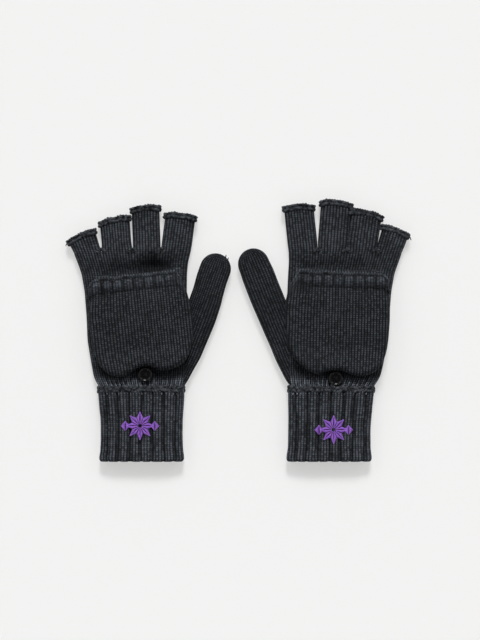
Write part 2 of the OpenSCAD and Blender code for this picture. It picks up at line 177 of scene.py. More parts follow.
def placed(name, mesh):
    piece = bpy.data.objects.new(name, mesh)
    bpy.context.scene.collection.objects.link(piece)
    return piece


def sheet(x, y, z, wale, course, flip=False, relief=1.0):
    # one grid of points with its stitch counts; flip turns its faces over, and relief is painted light and
    # shade,
    # with some tone of its own: 1 where the knitting is open to the light and less down in its furrows
    points = np.stack(np.broadcast_arrays(x, y, z), axis=-1).astype(float)
    counts = np.stack(np.broadcast_arrays(wale, course, relief, x * 0), axis=-1).astype(float)
    return points, counts, flip


def knitPiece(name, side, sheets, material):
    # the sheets of one knitted piece, mirrored on to its side of the pair and joined where they meet
    across = acrossPair[side]
    allPoints, allFaces, allCounts, first = [], [], [], 0
    for points, counts, flip in sheets:
        rows, cols = points.shape[:2]
        points = points.reshape(-1, 3) * (across, 1, 1)
        index = first + np.arange(rows * cols).reshape(rows, cols)
        quads = np.stack([index[:-1, :-1], index[:-1, 1:], index[1:, 1:], index[1:, :-1]], axis=-1)
        quads = quads.reshape(-1, 4)
        if flip != (across < 0):
            quads = quads[:, ::-1]
        allPoints.append(points)
        allFaces.append(quads)
        allCounts.append(counts.reshape(-1, 4))
        first += rows * cols
    points = np.concatenate(allPoints) * mm
    faces = np.concatenate(allFaces)
    counts = np.concatenate(allCounts)
    mesh = bpy.data.meshes.new(name)
    mesh.from_pydata(points.tolist(), [], faces.tolist())
    for layer, part in (("stitches", counts[:, :2]), ("relief", counts[:, 2:])):
        mesh.uv_layers.new(name=layer).data.foreach_set("uv", part[faces.ravel()].ravel())
    work = bmesh.new()
    work.from_mesh(mesh)
    bmesh.ops.remove_doubles(work, verts=work.verts, dist=weldWithin * mm)
    bmesh.ops.dissolve_degenerate(work, dist=0.001 * mm, edges=work.edges)
    work.to_mesh(mesh)
    work.free()
    mesh.polygons.foreach_set("use_smooth", [True] * len(mesh.polygons))
    mesh.materials.append(material)
    return placed(name, mesh)


def baked(piece):
    # the piece as its modifiers leave it, with the modifiers gone
    graph = bpy.context.evaluated_depsgraph_get()
    graph.update()
    mesh = bpy.data.meshes.new_from_object(piece.evaluated_get(graph))
    piece.modifiers.clear()
    piece.data = mesh
    return piece


def plainPiece(name, points, faces, material, smooth=True):
    mesh = bpy.data.meshes.new(name)
    mesh.from_pydata((np.asarray(points, float) * mm).tolist(), [], faces)
    mesh.polygons.foreach_set("use_smooth", [smooth] * len(mesh.polygons))
    mesh.materials.append(material)
    return placed(name, mesh)


def tubeAlong(route, radius, sides=8, taper=None):
    # points and faces of a round tube with closed ends; radius in millimetres
    route = np.asarray(route, float)
    tangent = np.gradient(route, axis=0)
    tangent /= np.linalg.norm(tangent, axis=1)[:, None]
    up = np.array([0, 0, 1.0])
    points, faces = [], []
    for i, (p, t) in enumerate(zip(route, tangent)):
        across = np.cross(t, up if abs(t[2]) < 0.95 else np.array([1.0, 0, 0]))
        across /= np.linalg.norm(across)
        over = np.cross(across, t)
        r = radius * (taper[i] if taper is not None else 1)
        points += [p + r * (across * math.cos(a) + over * math.sin(a))
                   for a in np.arange(sides) * 2 * math.pi / sides]
    for i in range(len(route) - 1):
        for k in range(sides):
            n = (k + 1) % sides
            faces.append((i * sides + k, i * sides + n, (i + 1) * sides + n, (i + 1) * sides + k))
    faces.append(tuple(range(sides - 1, -1, -1)))
    faces.append(tuple(range((len(route) - 1) * sides, len(route) * sides)))
    return points, faces


def finer(route, count):
    # the same route with more points on it
    route = np.array(route, float)
    steps = np.linspace(0, len(route) - 1, count)
    return np.stack([np.interp(steps, range(len(route)), part) for part in route.T], 1)


def gather(parts):
    # several lots of points and faces as one
    points, faces = [], []
    for p, f in parts:
        first = len(points)
        points += list(p)
        faces += [tuple(first + i for i in face) for face in f]
    return points, faces


class Wire:
    # a socket that can be used in sums
    def __init__(self, maker, socket):
        self.maker, self.socket = maker, socket

    def do(self, operation, *others, swap=False):
        values = [self, *others]
        if swap:
            values.reverse()
        return self.maker.wire("ShaderNodeMath", 0, {"operation": operation}, dict(enumerate(values)))

    def __add__(self, other): return self.do("ADD", other)
    def __radd__(self, other): return self.do("ADD", other)
    def __sub__(self, other): return self.do("SUBTRACT", other)
    def __rsub__(self, other): return self.do("SUBTRACT", other, swap=True)
    def __mul__(self, other): return self.do("MULTIPLY", other)
    def __rmul__(self, other): return self.do("MULTIPLY", other)
    def __pow__(self, other): return self.do("POWER", other)


class NodeMaker:
    def __init__(self, tree):
        self.tree = tree

    def node(self, kind, settings=None, values=None):
        made = self.tree.nodes.new(kind)
        for key, value in (settings or {}).items():
            setattr(made, key, value)
        for key, value in (values or {}).items():
            if isinstance(value, Wire):
                self.tree.links.new(value.socket, made.inputs[key])
            else:
                made.inputs[key].default_value = value
        return made

    def wire(self, kind, output, settings=None, values=None):
        return Wire(self, self.node(kind, settings, values).outputs[output])


class Finish(NodeMaker):
    def __init__(self, name, kind="materials"):
        self.material = getattr(bpy.data, kind).new(name)
        self.material.use_nodes = True
        super().__init__(self.material.node_tree)
        self.tree.nodes.clear()

    def mix(self, share, first, second, how="MIX"):
        return self.wire("ShaderNodeMix", 2, {"data_type": "RGBA", "blend_type": how, "clamp_factor": True},
                         {0: share, 6: first, 7: second})

    def lumps(self, size, detail=2.0, roughness=0.5):
        place = self.wire("ShaderNodeTexCoord", "Object")
        values = {"Vector": place, "Scale": 1 / (size * mm), "Detail": detail, "Roughness": roughness}
        return self.wire("ShaderNodeTexNoise", "Fac", None, values)

    def close(self, values, height=None, strength=0.5, depth=0.4):
        shader = self.node("ShaderNodeBsdfPrincipled", None, values)
        if height is not None:
            bump = self.wire("ShaderNodeBump", "Normal", None,
                             {"Height": height, "Strength": strength, "Distance": depth * mm})
            self.tree.links.new(bump.socket, shader.inputs["Normal"])
        out = self.node("ShaderNodeOutputMaterial")
        self.tree.links.new(shader.outputs[0], out.inputs["Surface"])
        return self.material


def colour(r, g, b):
    return (r, g, b, 1)


knitLook = {
    "gutterShade": colour(0.0018, 0.002, 0.0025),   # painted shade down between the wales
    "yarn": colour(0.090, 0.100, 0.118),
    "depth": 0.86,                            # how dark the painted shade in the gutters is
    "slant": 0.5,                             # how far a stitch's legs climb across half a wale
    "sheen": 0.02,
}

woolShader = {"Roughness": 0.9, "Specular IOR Level": 0.15, "Sheen Roughness": 0.45,
              "Sheen Tint": colour(0.62, 0.66, 0.75)}


def knitFinish(name, look, brightness=1.0):
    f = Finish(name)
    stitches = f.wire("ShaderNodeUVMap", "UV", {"uv_map": "stitches"})
    split = f.node("ShaderNodeSeparateXYZ", None, {"Vector": stitches})
    wale, course = Wire(f, split.outputs["X"]), Wire(f, split.outputs["Y"])
    wobble = f.lumps(6, 1) * 0.5 - 0.25
    sway = f.lumps(7, 2) * 0.36 - 0.18
    off = ((wale + sway).do("FRACT") - 0.5).do("ABSOLUTE") * 2       # 0 mid wale, 1 in the gutter
    row = course + wobble - off * look["slant"]
    leg = (row.do("FRACT") * math.pi).do("SINE")
    spot = f.wire("ShaderNodeCombineXYZ", "Vector", None, {"X": wale.do("FLOOR"), "Y": row.do("FLOOR")})
    chance = f.wire("ShaderNodeTexWhiteNoise", "Value", {"noise_dimensions": "2D"}, {"Vector": spot})
    # lighter on the stitches' crowns, with painted shade in the gutters between the wales and between the
    # rows
    crown = (1 - off ** 2 * look["depth"]) ** 1.9 * (leg ** 0.8 * 0.85 + 0.15)
    fluff = f.lumps(0.55, 3, 0.7)
    patches = f.lumps(24, 3)
    flecks = f.lumps(1.5, 2, 0.6)
    level = crown * (0.4 + chance * 0.85) * (fluff * 0.7 + 0.65)
    level = level * (patches * 0.9 + 0.55) * (flecks * 0.9 + 0.55)
    # each piece's painted light and shade, with some tone of its own, multiplies the yarn's colour
    relief = f.node("ShaderNodeSeparateXYZ", None,
                    {"Vector": f.wire("ShaderNodeUVMap", "UV", {"uv_map": "relief"})})
    base = f.mix(level, look["gutterShade"], look["yarn"])
    base = f.mix(1.0, base, Wire(f, relief.outputs["X"]) * brightness, "MULTIPLY")
    height = crown * (chance * 0.3 + 0.8) + fluff * 0.3
    return f.close({"Base Color": base, **woolShader, "Sheen Weight": look["sheen"]}, height, 0.9, 0.6)


def yarnFinish(name, dark, light, size=0.6):
    # loose yarn or thread with its fibres showing
    f = Finish(name)
    fluff = f.lumps(size, 3, 0.7)
    patches = f.lumps(2.6, 1)
    base = f.mix((fluff * 0.7 + patches * 2.6 - 1.25).do("MAXIMUM", 0), dark, light)
    return f.close({"Base Color": base, **woolShader, "Sheen Weight": 0.035}, fluff, 0.8, 0.35)


def satinFinish(name, dark, light):
    f = Finish(name)
    fibres = f.lumps(0.35, 3, 0.6)
    patches = f.lumps(3.5, 2)
    base = f.mix(fibres * 0.5 + patches * 0.4 + 0.2, dark, light)
    return f.close({"Base Color": base, "Roughness": 0.42, "Specular IOR Level": 0.55,
                    "Anisotropic": 0.5}, fibres, 0.35, 0.15)


def resinFinish(name):
    f = Finish(name)
    swirl = f.lumps(4, 3)
    scuffs = f.lumps(0.5, 4, 0.7)
    base = f.mix(swirl, colour(0.0014, 0.0014, 0.0017), colour(0.004, 0.004, 0.0045))
    return f.close({"Base Color": base, "Roughness": scuffs * 0.1 + 0.07, "Specular IOR Level": 0.5},
                   scuffs, 0.04, 0.04)


def cordFinish(name):
    f = Finish(name)
    braid = f.wire("ShaderNodeTexWave", "Fac", {"bands_direction": "DIAGONAL"},
                   {"Vector": f.wire("ShaderNodeTexCoord", "Object"), "Scale": 900.0, "Distortion": 2.0})
    base = f.mix(braid, colour(0.006, 0.006, 0.008), colour(0.028, 0.029, 0.034))
    return f.close({"Base Color": base, "Roughness": 0.6, "Specular IOR Level": 0.35}, braid, 0.6, 0.2)


def fleeceFinish(name):
    f = Finish(name)
    fibres = f.lumps(0.8, 4, 0.7)
    base = f.mix(fibres, colour(0.08, 0.08, 0.085), colour(0.16, 0.16, 0.165))
    return f.close({"Base Color": base, "Roughness": 0.95}, fibres, 0.5, 0.2)


handKnit = knitFinish("handKnit", knitLook)
flapKnit = knitFinish("flapKnit", {**knitLook, "depth": 1.0}, 0.64)
weltKnit = knitFinish("weltKnit", {**knitLook, "depth": 0.6}, 0.68)
ribKnit = knitFinish("ribKnit", knitLook, 1.05)
edgeYarn = yarnFinish("edgeYarn", colour(0.006, 0.0065, 0.0078), colour(0.082, 0.09, 0.102))
sewingThread = yarnFinish("sewingThread", colour(0.003, 0.003, 0.0035), colour(0.014, 0.014, 0.016), 0.3)
purpleThread = satinFinish("purpleThread", colour(0.22, 0.07, 0.68), colour(0.72, 0.33, 1.0))
buttonResin = resinFinish("buttonResin")
elasticCord = cordFinish("elasticCord")
backingFleece = fleeceFinish("backingFleece")
print("materials made")


handLook = {
    "edgeRadius": 8.0,
    "wall": 1.6,
    "lining": 22,        # how deep the inside of each finger mouth is modelled
    "mouthBack": 1.6,    # the tubes stop this short, under their cast-off edges
    "arch": 1.7,         # how far the mouths curve back at their sides
    "foldDip": 1.3,      # the hand dips beside the fold of the flap
    "knuckleRise": 1.2,  # and its knuckles stand up beyond the dip
    "lump": 0.9,
    "gather": 1.1,       # ripples where the hand is drawn in above the cuff
    "gatherEvery": 5.1,
    "tuckIn": 1.6,       # where one sheet goes in under another
    "thumbTop": 10.2,    # the free thumb lies lower than the hand
    "thumbShade": 0.52,
    "start": -57,        # inside the cuff
}

# half thickness and height of the middle of the hand, wrist to fingertips
halfAt = [(-57, 5.8), (-51, 6), (-40, 5.7), (-30, 6), (60, 6), (74, 5.3), (120, 4.9)]
midAt = [(-57, 8), (-51, 8), (-41, 6.3), (-27, 6), (60, 6.05), (74, 5.4), (120, 5)]


def fingerPlace(m, name, u, s):
    # a point on a finger: u is where its wale crosses the knuckles, s the way up the finger
    root, half, length, lean, tube = m["fingers"][name]
    lean = math.radians(lean)
    tilt = math.radians(m["mouthTilt"][name])
    q = (u - root) / half
    width = half + (tube - half) * np.minimum(1, s / 8)
    turn = lean * smoothStep(s / 14)
    toMouth = smoothStep((s - 8) / (length - 8))
    skew = tilt * toMouth
    s = s - handLook["arch"] * np.abs(q) ** 2.5 * toMouth
    x = root + s * math.sin(lean) + q * width * np.cos(turn)
    y = knuckleY + s * math.cos(lean) - q * width * (np.sin(turn) + np.tan(skew))
    return x, y


def fingerEdges(m, name):
    root, half, *_ = m["fingers"][name]
    return root - half, root + half


def thumbPlace(m, q, t):
    # q runs across the thumb, t down it from its rounded end
    tx, ty, lean = m["thumb"]
    lean = math.radians(lean)
    radius = m["thumbOuter"][0][1]
    down = t - radius
    x = tx + down * math.sin(lean) + q * math.cos(lean)
    y = ty - down * math.cos(lean) + q * math.sin(lean)
    return x, y


def thumbWidths(m, t):
    radius = m["thumbOuter"][0][1]
    tip = np.sqrt(np.maximum(0, radius ** 2 - (radius - np.minimum(t, radius)) ** 2)) / radius
    return softLine(m["thumbOuter"], t) * tip, softLine(m["thumbInner"], t) * tip


def outline(m):
    # the mitten's edge as lines, without its finger mouths and wrist
    lines = []
    y = np.arange(handLook["start"], knuckleY + 0.1, 1.5)
    lines.append(np.stack([softLine(m["littleEdge"], y), y], 1))
    for name in fingerOrder:
        low, high = fingerEdges(m, name)
        s = np.linspace(0, m["fingers"][name][2] + 4, 14)
        for u in (low, high):
            lines.append(np.stack(fingerPlace(m, name, u, s), 1))
    t = np.concatenate([np.linspace(0, 14, 14) ** 2 / 14, np.arange(15.5, 130, 1.5)])
    outer, inner = thumbWidths(m, t)
    outerLine = np.stack(thumbPlace(m, -outer, t), 1)
    innerLine = np.stack(thumbPlace(m, inner, t), 1)
    edge = softLine(m["thumbEdge"], innerLine[:, 1])
    meets = np.argmax(innerLine[:, 0] > edge)
    crotch = innerLine[meets]
    lines.append(outerLine[outerLine[:, 1] > handLook["start"]])
    lines.append(innerLine[:meets + 1])
    y = np.arange(crotch[1], knuckleY + 0.1, 1.5)
    lines.append(np.stack([softLine(m["thumbEdge"], y), y], 1))
    m["crotch"] = crotch
    return lines


def hingeLine(side):
    # where the flap turns: a point, the way along it and the way to the flap's tip
    joint = joints[side + "_flap_flip"]
    at = np.array(joint["pos_m"]) / mm
    along = np.array(joint["axis"][:2])
    return at, along, np.array([-along[1], along[0]])


def dipAt(px, py, wide, tall, x, y):
    return np.exp(-((x - px) / wide) ** 2 - ((y - py) / tall) ** 2)


def handHeights(side, m, x, y):
    # top and underside of the hand at a place, before its wales
    d = distanceTo(m["lines"], x, y)
    full = roundEdge(d, handLook["edgeRadius"])
    half = softLine(halfAt, y) * full
    middle = softLine(midAt, y)
    lump = cloudy(x, y, 26, 3.7) * handLook["lump"] * full
    at, along, down = hingeLine(side)
    across = acrossPair[side]
    v = (x * across - at[0]) * down[0] + (y - at[1]) * down[1]
    u = (x * across - at[0]) * along[0] + (y - at[1]) * along[1]
    dip = handLook["foldDip"] * np.exp(-((v + 3) / 6.5) ** 2) * np.exp(-(u / 46) ** 6)
    for *dipped, deep in m["dips"]:
        dip = dip + deep * dipAt(*dipped, x, y)
    rise = handLook["knuckleRise"] * np.exp(-((v + 21) / 9) ** 2)
    top = middle + half + lump + (rise - dip) * full
    low = np.maximum(0.25, middle - half + lump * 0.3 + 0.4 * (1 - full))
    return top, low, full


# how pale the hand's knitting is painted, what the fingers and the painted light above the cuff add, and what
# a dip takes off as painted shade
shadeLook = {"hand": 0.73, "fingers": 0.12, "wrist": 1.5, "dips": 0.1, "darkest": 0.3}


def handShade(m, x, y):
    # the knitting is painted paler over the fingers and, as painted light, paler still above the cuff;
    # painted shade darkens it in the dips
    fingers, wrist = smoothStep((y - 62) / 12), smoothStep((-40 - y) / 7)
    shade = shadeLook["hand"] + shadeLook["fingers"] * fingers + shadeLook["wrist"] * wrist
    for *dipped, deep in m["dips"]:
        shade = shade - shadeLook["dips"] * max(0, deep) * dipAt(*dipped, x, y)
    return np.maximum(shade, shadeLook["darkest"])


def handSheets(side, m):
    lowU, highU = fingerEdges(m, "index")[0], fingerEdges(m, "little")[1]
    marks = [fingerEdges(m, n)[1] for n in fingerOrder[:-1]]
    u = waleColumns(lowU, highU, marks)
    sheets = []
    y = np.arange(handLook["start"], knuckleY + 0.01, knit["rowStep"])
    thumbEdge, littleEdge = softLine(m["thumbEdge"], y)[:, None], softLine(m["littleEdge"], y)[:, None]
    x = thumbEdge + (littleEdge - thumbEdge) * ((u - lowU) / (highU - lowU))[None, :]
    yy = np.broadcast_to(y[:, None], x.shape)
    below = smoothStep((m["crotch"][1] + 2 - yy) / 5) * smoothStep(1 - (u - lowU) / 2.2)[None, :]
    sheets += surfacePair(side, m, x, yy, u[None, :], yy / knit["course"], tuck=below)
    for name in fingerOrder:
        low, high = fingerEdges(m, name)
        uf = u[(u > low - 1e-6) & (u < high + 1e-6)]
        end = m["fingers"][name][2] - handLook["mouthBack"]
        s = np.linspace(0, end, max(6, round(end / knit["rowStep"])))
        fx, fy = fingerPlace(m, name, uf[None, :], s[:, None])
        sheets += surfacePair(side, m, fx, fy, uf[None, :], (knuckleY + s[:, None]) / knit["course"])
    return sheets


def surfacePair(side, m, x, y, u, course, tuck=0.0):
    top, low, full = handHeights(side, m, x, y)
    ridge = waleRidge(u) * full * knit["ridge"]
    u = u + np.zeros_like(x)
    course = course + np.zeros_like(x)
    wave = np.sin(u * 2 * math.pi / handLook["gatherEvery"] + cloudy(x, y, 9, 8.1) * 2)
    ripple = smoothStep((-38 - y) / 12) * handLook["gather"] * wave
    top = top + ridge + ripple * full - handLook["tuckIn"] * tuck
    low = np.maximum(justAboveTable, low - ridge * 0.6 + handLook["tuckIn"] * tuck)
    # painted light on the crests of the gathers above the cuff and painted shade in their troughs
    shade = handShade(m, x, y) * (1 + 0.35 * ripple)
    return [sheet(x, y, top, u / knit["wale"], course, relief=shade),
            sheet(x, y, low, u / knit["wale"], course, flip=True)]


def liningSheets(side, m):
    # the inside of the knitting just within each finger mouth and within the wrist
    sheets = []
    for name in fingerOrder:
        low, high = fingerEdges(m, name)
        uf = np.linspace(low + 1.5, high - 1.5, 15)
        end = m["fingers"][name][2] - handLook["mouthBack"]
        s = np.linspace(max(-4, end - handLook["lining"]), end, 8)
        fx, fy = fingerPlace(m, name, uf[None, :], s[:, None])
        top, under, _ = handHeights(side, m, fx, fy)
        course = (knuckleY + s[:, None]) / knit["course"] + np.zeros_like(fx)
        inTop = np.maximum(top - handLook["wall"], (top + under) / 2 + 0.1)
        inLow = np.minimum(under + handLook["wall"], (top + under) / 2 - 0.1)
        wale = uf[None, :] / knit["wale"] + np.zeros_like(fx)
        sheets += [sheet(fx, fy, inTop, wale, course, flip=True), sheet(fx, fy, inLow, wale, course)]
    return sheets


def thumbSheets(side, m):
    t = np.concatenate([[0, 0.12, 0.5, 1.1, 2, 3.2, 4.8, 6.6], np.arange(8.6, 126, knit["rowStep"])])
    outer, inner = thumbWidths(m, t)
    widest = max(outer.max(), inner.max())
    q = waleColumns(-widest, widest)
    share = q[None, :] / widest
    qq = share * np.where(share < 0, outer[:, None], inner[:, None])
    x, y = thumbPlace(m, qq, t[:, None] + np.zeros_like(qq))
    top, low, full = handHeights(side, m, x, y)
    free = smoothStep((36 - t[:, None]) / 20)          # 1 on the free thumb, 0 on the hand
    top = top - (top - handLook["thumbTop"]) * free * 0.9 * full
    inside = smoothStep((x - softLine(m["thumbEdge"], y) - 0.6) / 2.5)
    inside = inside * smoothStep((m["crotch"][1] + 1 - y) / 4)
    ridge = waleRidge(q)[None, :] * full * knit["ridge"]
    top = top + ridge * 1.1 - 0.9 * inside
    low = np.maximum(justAboveTable, low - ridge * 0.6 + 0.9 * inside)
    keep = y[:, 0] > handLook["start"] - 3
    wale, course = q[None, :] / knit["wale"] + 0 * x, -t[:, None] / knit["course"] + 0 * x
    # from the wrist up, as the hand's rows run
    x, y, top, low, wale, course = (a[keep][::-1] for a in (x, y, top, low, wale, course))
    return [sheet(x, y, top, wale, course, relief=handLook["thumbShade"]),
            sheet(x, y, low, wale, course, flip=True)]


chainLook = {
    "spacing": 2.35,     # between the loops of the chain
    "loop": (2.15, 1.2, 1.35),
    "lean": 0.62,        # each loop leans, one way in the front row and the other behind
    "offset": 1.3,       # of each row from the path
    "ahead": 0.55,       # of one row over the other, along the path
    "mouthBack": 2.3,    # of the chain round a finger, down from the finger's end
    "lowest": 1.95,      # no loop's middle comes closer to the table than this
}


def castOffTree():
    # loops of yarn leaning along a path, in two rows that make a chain
    chain = NodeMaker(bpy.data.node_groups.new("castOffChain", "GeometryNodeTree"))
    wire = chain.wire
    inputs = [("Path", "Geometry", None), ("Spacing", "Float", chainLook["spacing"] * mm),
              ("Loop Size", "Float", 1.0), ("Row Offset", "Float", chainLook["offset"] * mm),
              ("Lean", "Float", chainLook["lean"]), ("Axis", "Vector", (0, 1, 0)),
              ("Seed", "Int", 1), ("Yarn", "Material", None)]
    for label, kind, value in inputs:
        made = chain.tree.interface.new_socket(label, in_out="INPUT", socket_type="NodeSocket" + kind)
        if value is not None:
            made.default_value = value
    chain.tree.interface.new_socket("Geometry", in_out="OUTPUT", socket_type="NodeSocketGeometry")
    given = chain.node("NodeGroupInput").outputs
    given = [Wire(chain, given[label]) for label, *_ in inputs]
    path, spacing, loopSize, rowOffset, lean, axis, seed, yarn = given
    curve = wire("GeometryNodeMeshToCurve", "Curve", None, {"Mesh": path})
    bean = wire("GeometryNodeMeshUVSphere", "Mesh", None, {"Segments": 8, "Rings": 6, "Radius": mm})
    loop = wire("GeometryNodeTransform", "Geometry", None, {"Geometry": bean, "Scale": chainLook["loop"]})
    joined = chain.node("GeometryNodeJoinGeometry")
    for way in (1, -1):
        points = wire("GeometryNodeResampleCurve", "Curve", {"mode": "LENGTH"},
                      {"Curve": curve, "Length": spacing})
        index = wire("GeometryNodeInputIndex", 0)
        ahead = wire("FunctionNodeAlignRotationToVector", 0, {"axis": "X"},
                     {"Vector": wire("GeometryNodeInputTangent", 0)})
        facing = wire("FunctionNodeAlignRotationToVector", 0, {"axis": "Y", "pivot_axis": "X"},
                      {"Rotation": ahead, "Vector": axis})
        row = wire("GeometryNodeInstanceOnPoints", "Instances", None,
                   {"Points": points, "Instance": loop, "Rotation": facing})
        step = wire("ShaderNodeCombineXYZ", "Vector", None,
                    {"X": chainLook["ahead"] * mm * way, "Y": rowOffset * way})
        row = wire("GeometryNodeTranslateInstances", "Instances", None,
                   {"Instances": row, "Translation": step})
        jitter = wire("FunctionNodeRandomValue", "Value", {"data_type": "FLOAT_VECTOR"},
                      {"Min": (-0.25, -0.3, -0.25), "Max": (0.25, 0.3, 0.25), "ID": index, "Seed": seed})
        tilt = wire("ShaderNodeCombineXYZ", "Vector", None, {"Z": lean * way})
        angle = wire("ShaderNodeVectorMath", "Vector", {"operation": "ADD"}, {0: jitter, 1: tilt})
        row = wire("GeometryNodeRotateInstances", "Instances", None, {"Instances": row, "Rotation": angle})
        grow = wire("FunctionNodeRandomValue", 1, {"data_type": "FLOAT"}, {2: 0.85, 3: 1.18, "ID": index})
        row = wire("GeometryNodeScaleInstances", "Instances", None,
                   {"Instances": row, "Scale": grow * loopSize})
        chain.tree.links.new(row.socket, joined.inputs["Geometry"])
    real = wire("GeometryNodeRealizeInstances", "Geometry", None,
                {"Geometry": Wire(chain, joined.outputs["Geometry"])})
    painted = wire("GeometryNodeSetMaterial", "Geometry", None, {"Geometry": real, "Material": yarn})
    chain.node("NodeGroupOutput", None, {"Geometry": painted})
    return chain.tree


def grown(name, paths, closed, tree, settings):
    # runs a node tree along some paths and keeps its result as a plain mesh
    edges, first = [], 0
    for path in paths:
        count = len(path)
        edges += [(first + i, first + (i + 1) % count) for i in range(count if closed else count - 1)]
        first += count
    mesh = bpy.data.meshes.new(name + "Path")
    mesh.from_pydata((np.concatenate(paths) * mm).tolist(), edges, [])
    piece = placed(name, mesh)
    modifier = piece.modifiers.new("grow", "NODES")
    modifier.node_group = tree
    ids = {s.name: s.identifier for s in tree.interface.items_tree if s.item_type == "SOCKET"}
    for label, value in settings.items():
        modifier[ids[label]] = value
    baked(piece)
    piece.data.name = name
    piece.data.polygons.foreach_set("use_smooth", [True] * len(piece.data.polygons))
    return piece


chainTree = castOffTree()


def mouthPath(side, m, name):
    # round the mouth of a finger, on the face of its knitting
    low, high = fingerEdges(m, name)
    s = m["fingers"][name][2] - chainLook["mouthBack"]
    u = np.linspace(low - 0.3, high + 0.3, 24)
    x, y = fingerPlace(m, name, u, np.full_like(u, s))
    inX, inY = fingerPlace(m, name, np.linspace(low + 1.4, high - 1.4, 24), np.full_like(u, s))
    top, under, _ = handHeights(side, m, inX, inY)
    sag = cloudy(x, y, 7, 21.0) * 0.9
    upper = np.stack([x, y + sag, top + 0.5], 1)
    lower = np.stack([x, y + sag, np.maximum(under, chainLook["lowest"])], 1)
    path = np.concatenate([upper, lower[::-1]])
    path[:, 0] *= acrossPair[side]
    return path


def crotchPaths(side, m):
    # the few stitches that close the knitting between two fingers
    paths = []
    for name in fingerOrder[:-1]:
        x = fingerEdges(m, name)[1]
        steps = np.linspace(-1, 1, 7)
        px, py = x + 3.4 * steps, knuckleY + 2.6 - 2.6 * steps ** 2
        top = handHeights(side, m, px, py - 2.2)[0]
        paths.append(np.stack([px * acrossPair[side], py, top + 0.2], 1))
    return paths


tailLook = {
    "thick": 0.6,
    "points": 9,
    "thumbTails": {"left": (0.75, 0.95), "right": ()},     # their angles round the thumb's end
}


def tailPiece(side, m):
    # ends of yarn left at the little finger's mouth and at the thumb's tip
    length, across = m["fingers"]["little"][2], acrossPair[side]
    u = fingerEdges(m, "little")[1] + np.array([0.5, 2.0, 3.5])
    x, y = fingerPlace(m, "little", u, length - np.array([1.5, 1.2, 2.6]))
    routes = [list(zip(x * across, y, (5.5, 6.0, 5.2)))]
    tx, ty, _ = m["thumb"]
    for k, angle in enumerate(tailLook["thumbTails"][side]):
        route = []
        for i, r in enumerate((13.0, 14.4, 15.6 - 0.5 * k)):
            turn = angle - 0.05 * i
            route.append(((tx - r * math.sin(turn)) * across, ty + r * math.cos(turn), 6.5))
        routes.append(route)
    taper = np.linspace(1, 0.6, tailLook["points"])
    tails = [tubeAlong(finer(route, tailLook["points"]), tailLook["thick"], 7, taper) for route in routes]
    return plainPiece(side + "YarnTails", *gather(tails), edgeYarn)


def fingerAxis(side, m, name):
    lean = math.radians(m["fingers"][name][3])
    return (math.sin(lean) * acrossPair[side], math.cos(lean), 0)


cuffLook = {
    "halfHeight": 8,
    "rib": 10.2,         # one rib and one furrow
    "depth": 1.7,
    "square": 3.4,       # how square its section is, 2 is an ellipse
    "wall": 1.9,
    "perRib": 20,        # mesh columns in one rib
    "rowStep": 2.2,
    "wander": 2.2,       # how far a rib strays to its sides
    "foldBulge": 0.9,
    # the fold's section outside and inside: up from the fold, in from the outer face
    "foldOutside": [(-0.1, 2.9), (-0.35, 2.2), (-0.3, 1.4), (0.1, 0.75), (0.9, 0.25), (2, 0)],
    "foldInside": [(-0.1, 2.9), (0.3, 3.6), (1.2, 4.2), (3, 4.5)],
    "innerDepth": 4.6,
    "seed": {"left": 4.2, "right": 9.6},
}


def cuffSize(m, y):
    half = (wristY - foldY) / 2
    up = np.asarray(y, float) - foldY
    middles, halves = zip(*m["cuff"])
    bulge = cuffLook["foldBulge"] * np.exp(-((up - 3) / 5) ** 2)
    width = softLine(list(enumerate(halves)), up / half, 0.25)
    return np.interp(up / half, [0, 1, 2], middles), float(width + bulge)


def ringPoints(halfWidth, halfHeight, share, square):
    # points round a flattened ring at shares of its length, and which way is out
    t = np.linspace(0, 2 * math.pi, 721)
    c, s = np.cos(t), np.sin(t)
    x = halfWidth * np.sign(c) * np.abs(c) ** (2 / square)
    z = halfHeight * np.sign(s) * np.abs(s) ** (2 / square)
    run = np.concatenate([[0], np.cumsum(np.hypot(np.diff(x), np.diff(z)))])
    want = share * run[-1]
    px, pz = np.interp(want, run, x), np.interp(want, run, z)
    apart = run + np.arange(run.size) * 1e-9     # no two steps are at the same place
    nx = np.interp(want, run, np.gradient(z, apart))
    nz = -np.interp(want, run, np.gradient(x, apart))
    size = np.maximum(np.hypot(nx, nz), 1e-6)
    return px, pz, nx / size, nz / size, run[-1]


def ribWave(count, share, y, seed):
    # raised ribs of two wales each, wandering a little as soft knitting does
    spots = [(math.cos(a) * 5, math.sin(a) * 5, y / 22 + seed) for a in 2 * math.pi * share]
    wander = np.array([noise.noise(Vector(spot)) for spot in spots])
    phase = (share * count + wander * cuffLook["wander"] / cuffLook["rib"]) % 1
    broad = 0.5 - 0.5 * np.cos(2 * math.pi * phase)
    rib = smoothStep((broad - 0.02) / 0.36)
    fine = np.abs(np.sin(4 * math.pi * phase)) ** 0.8
    return rib, fine


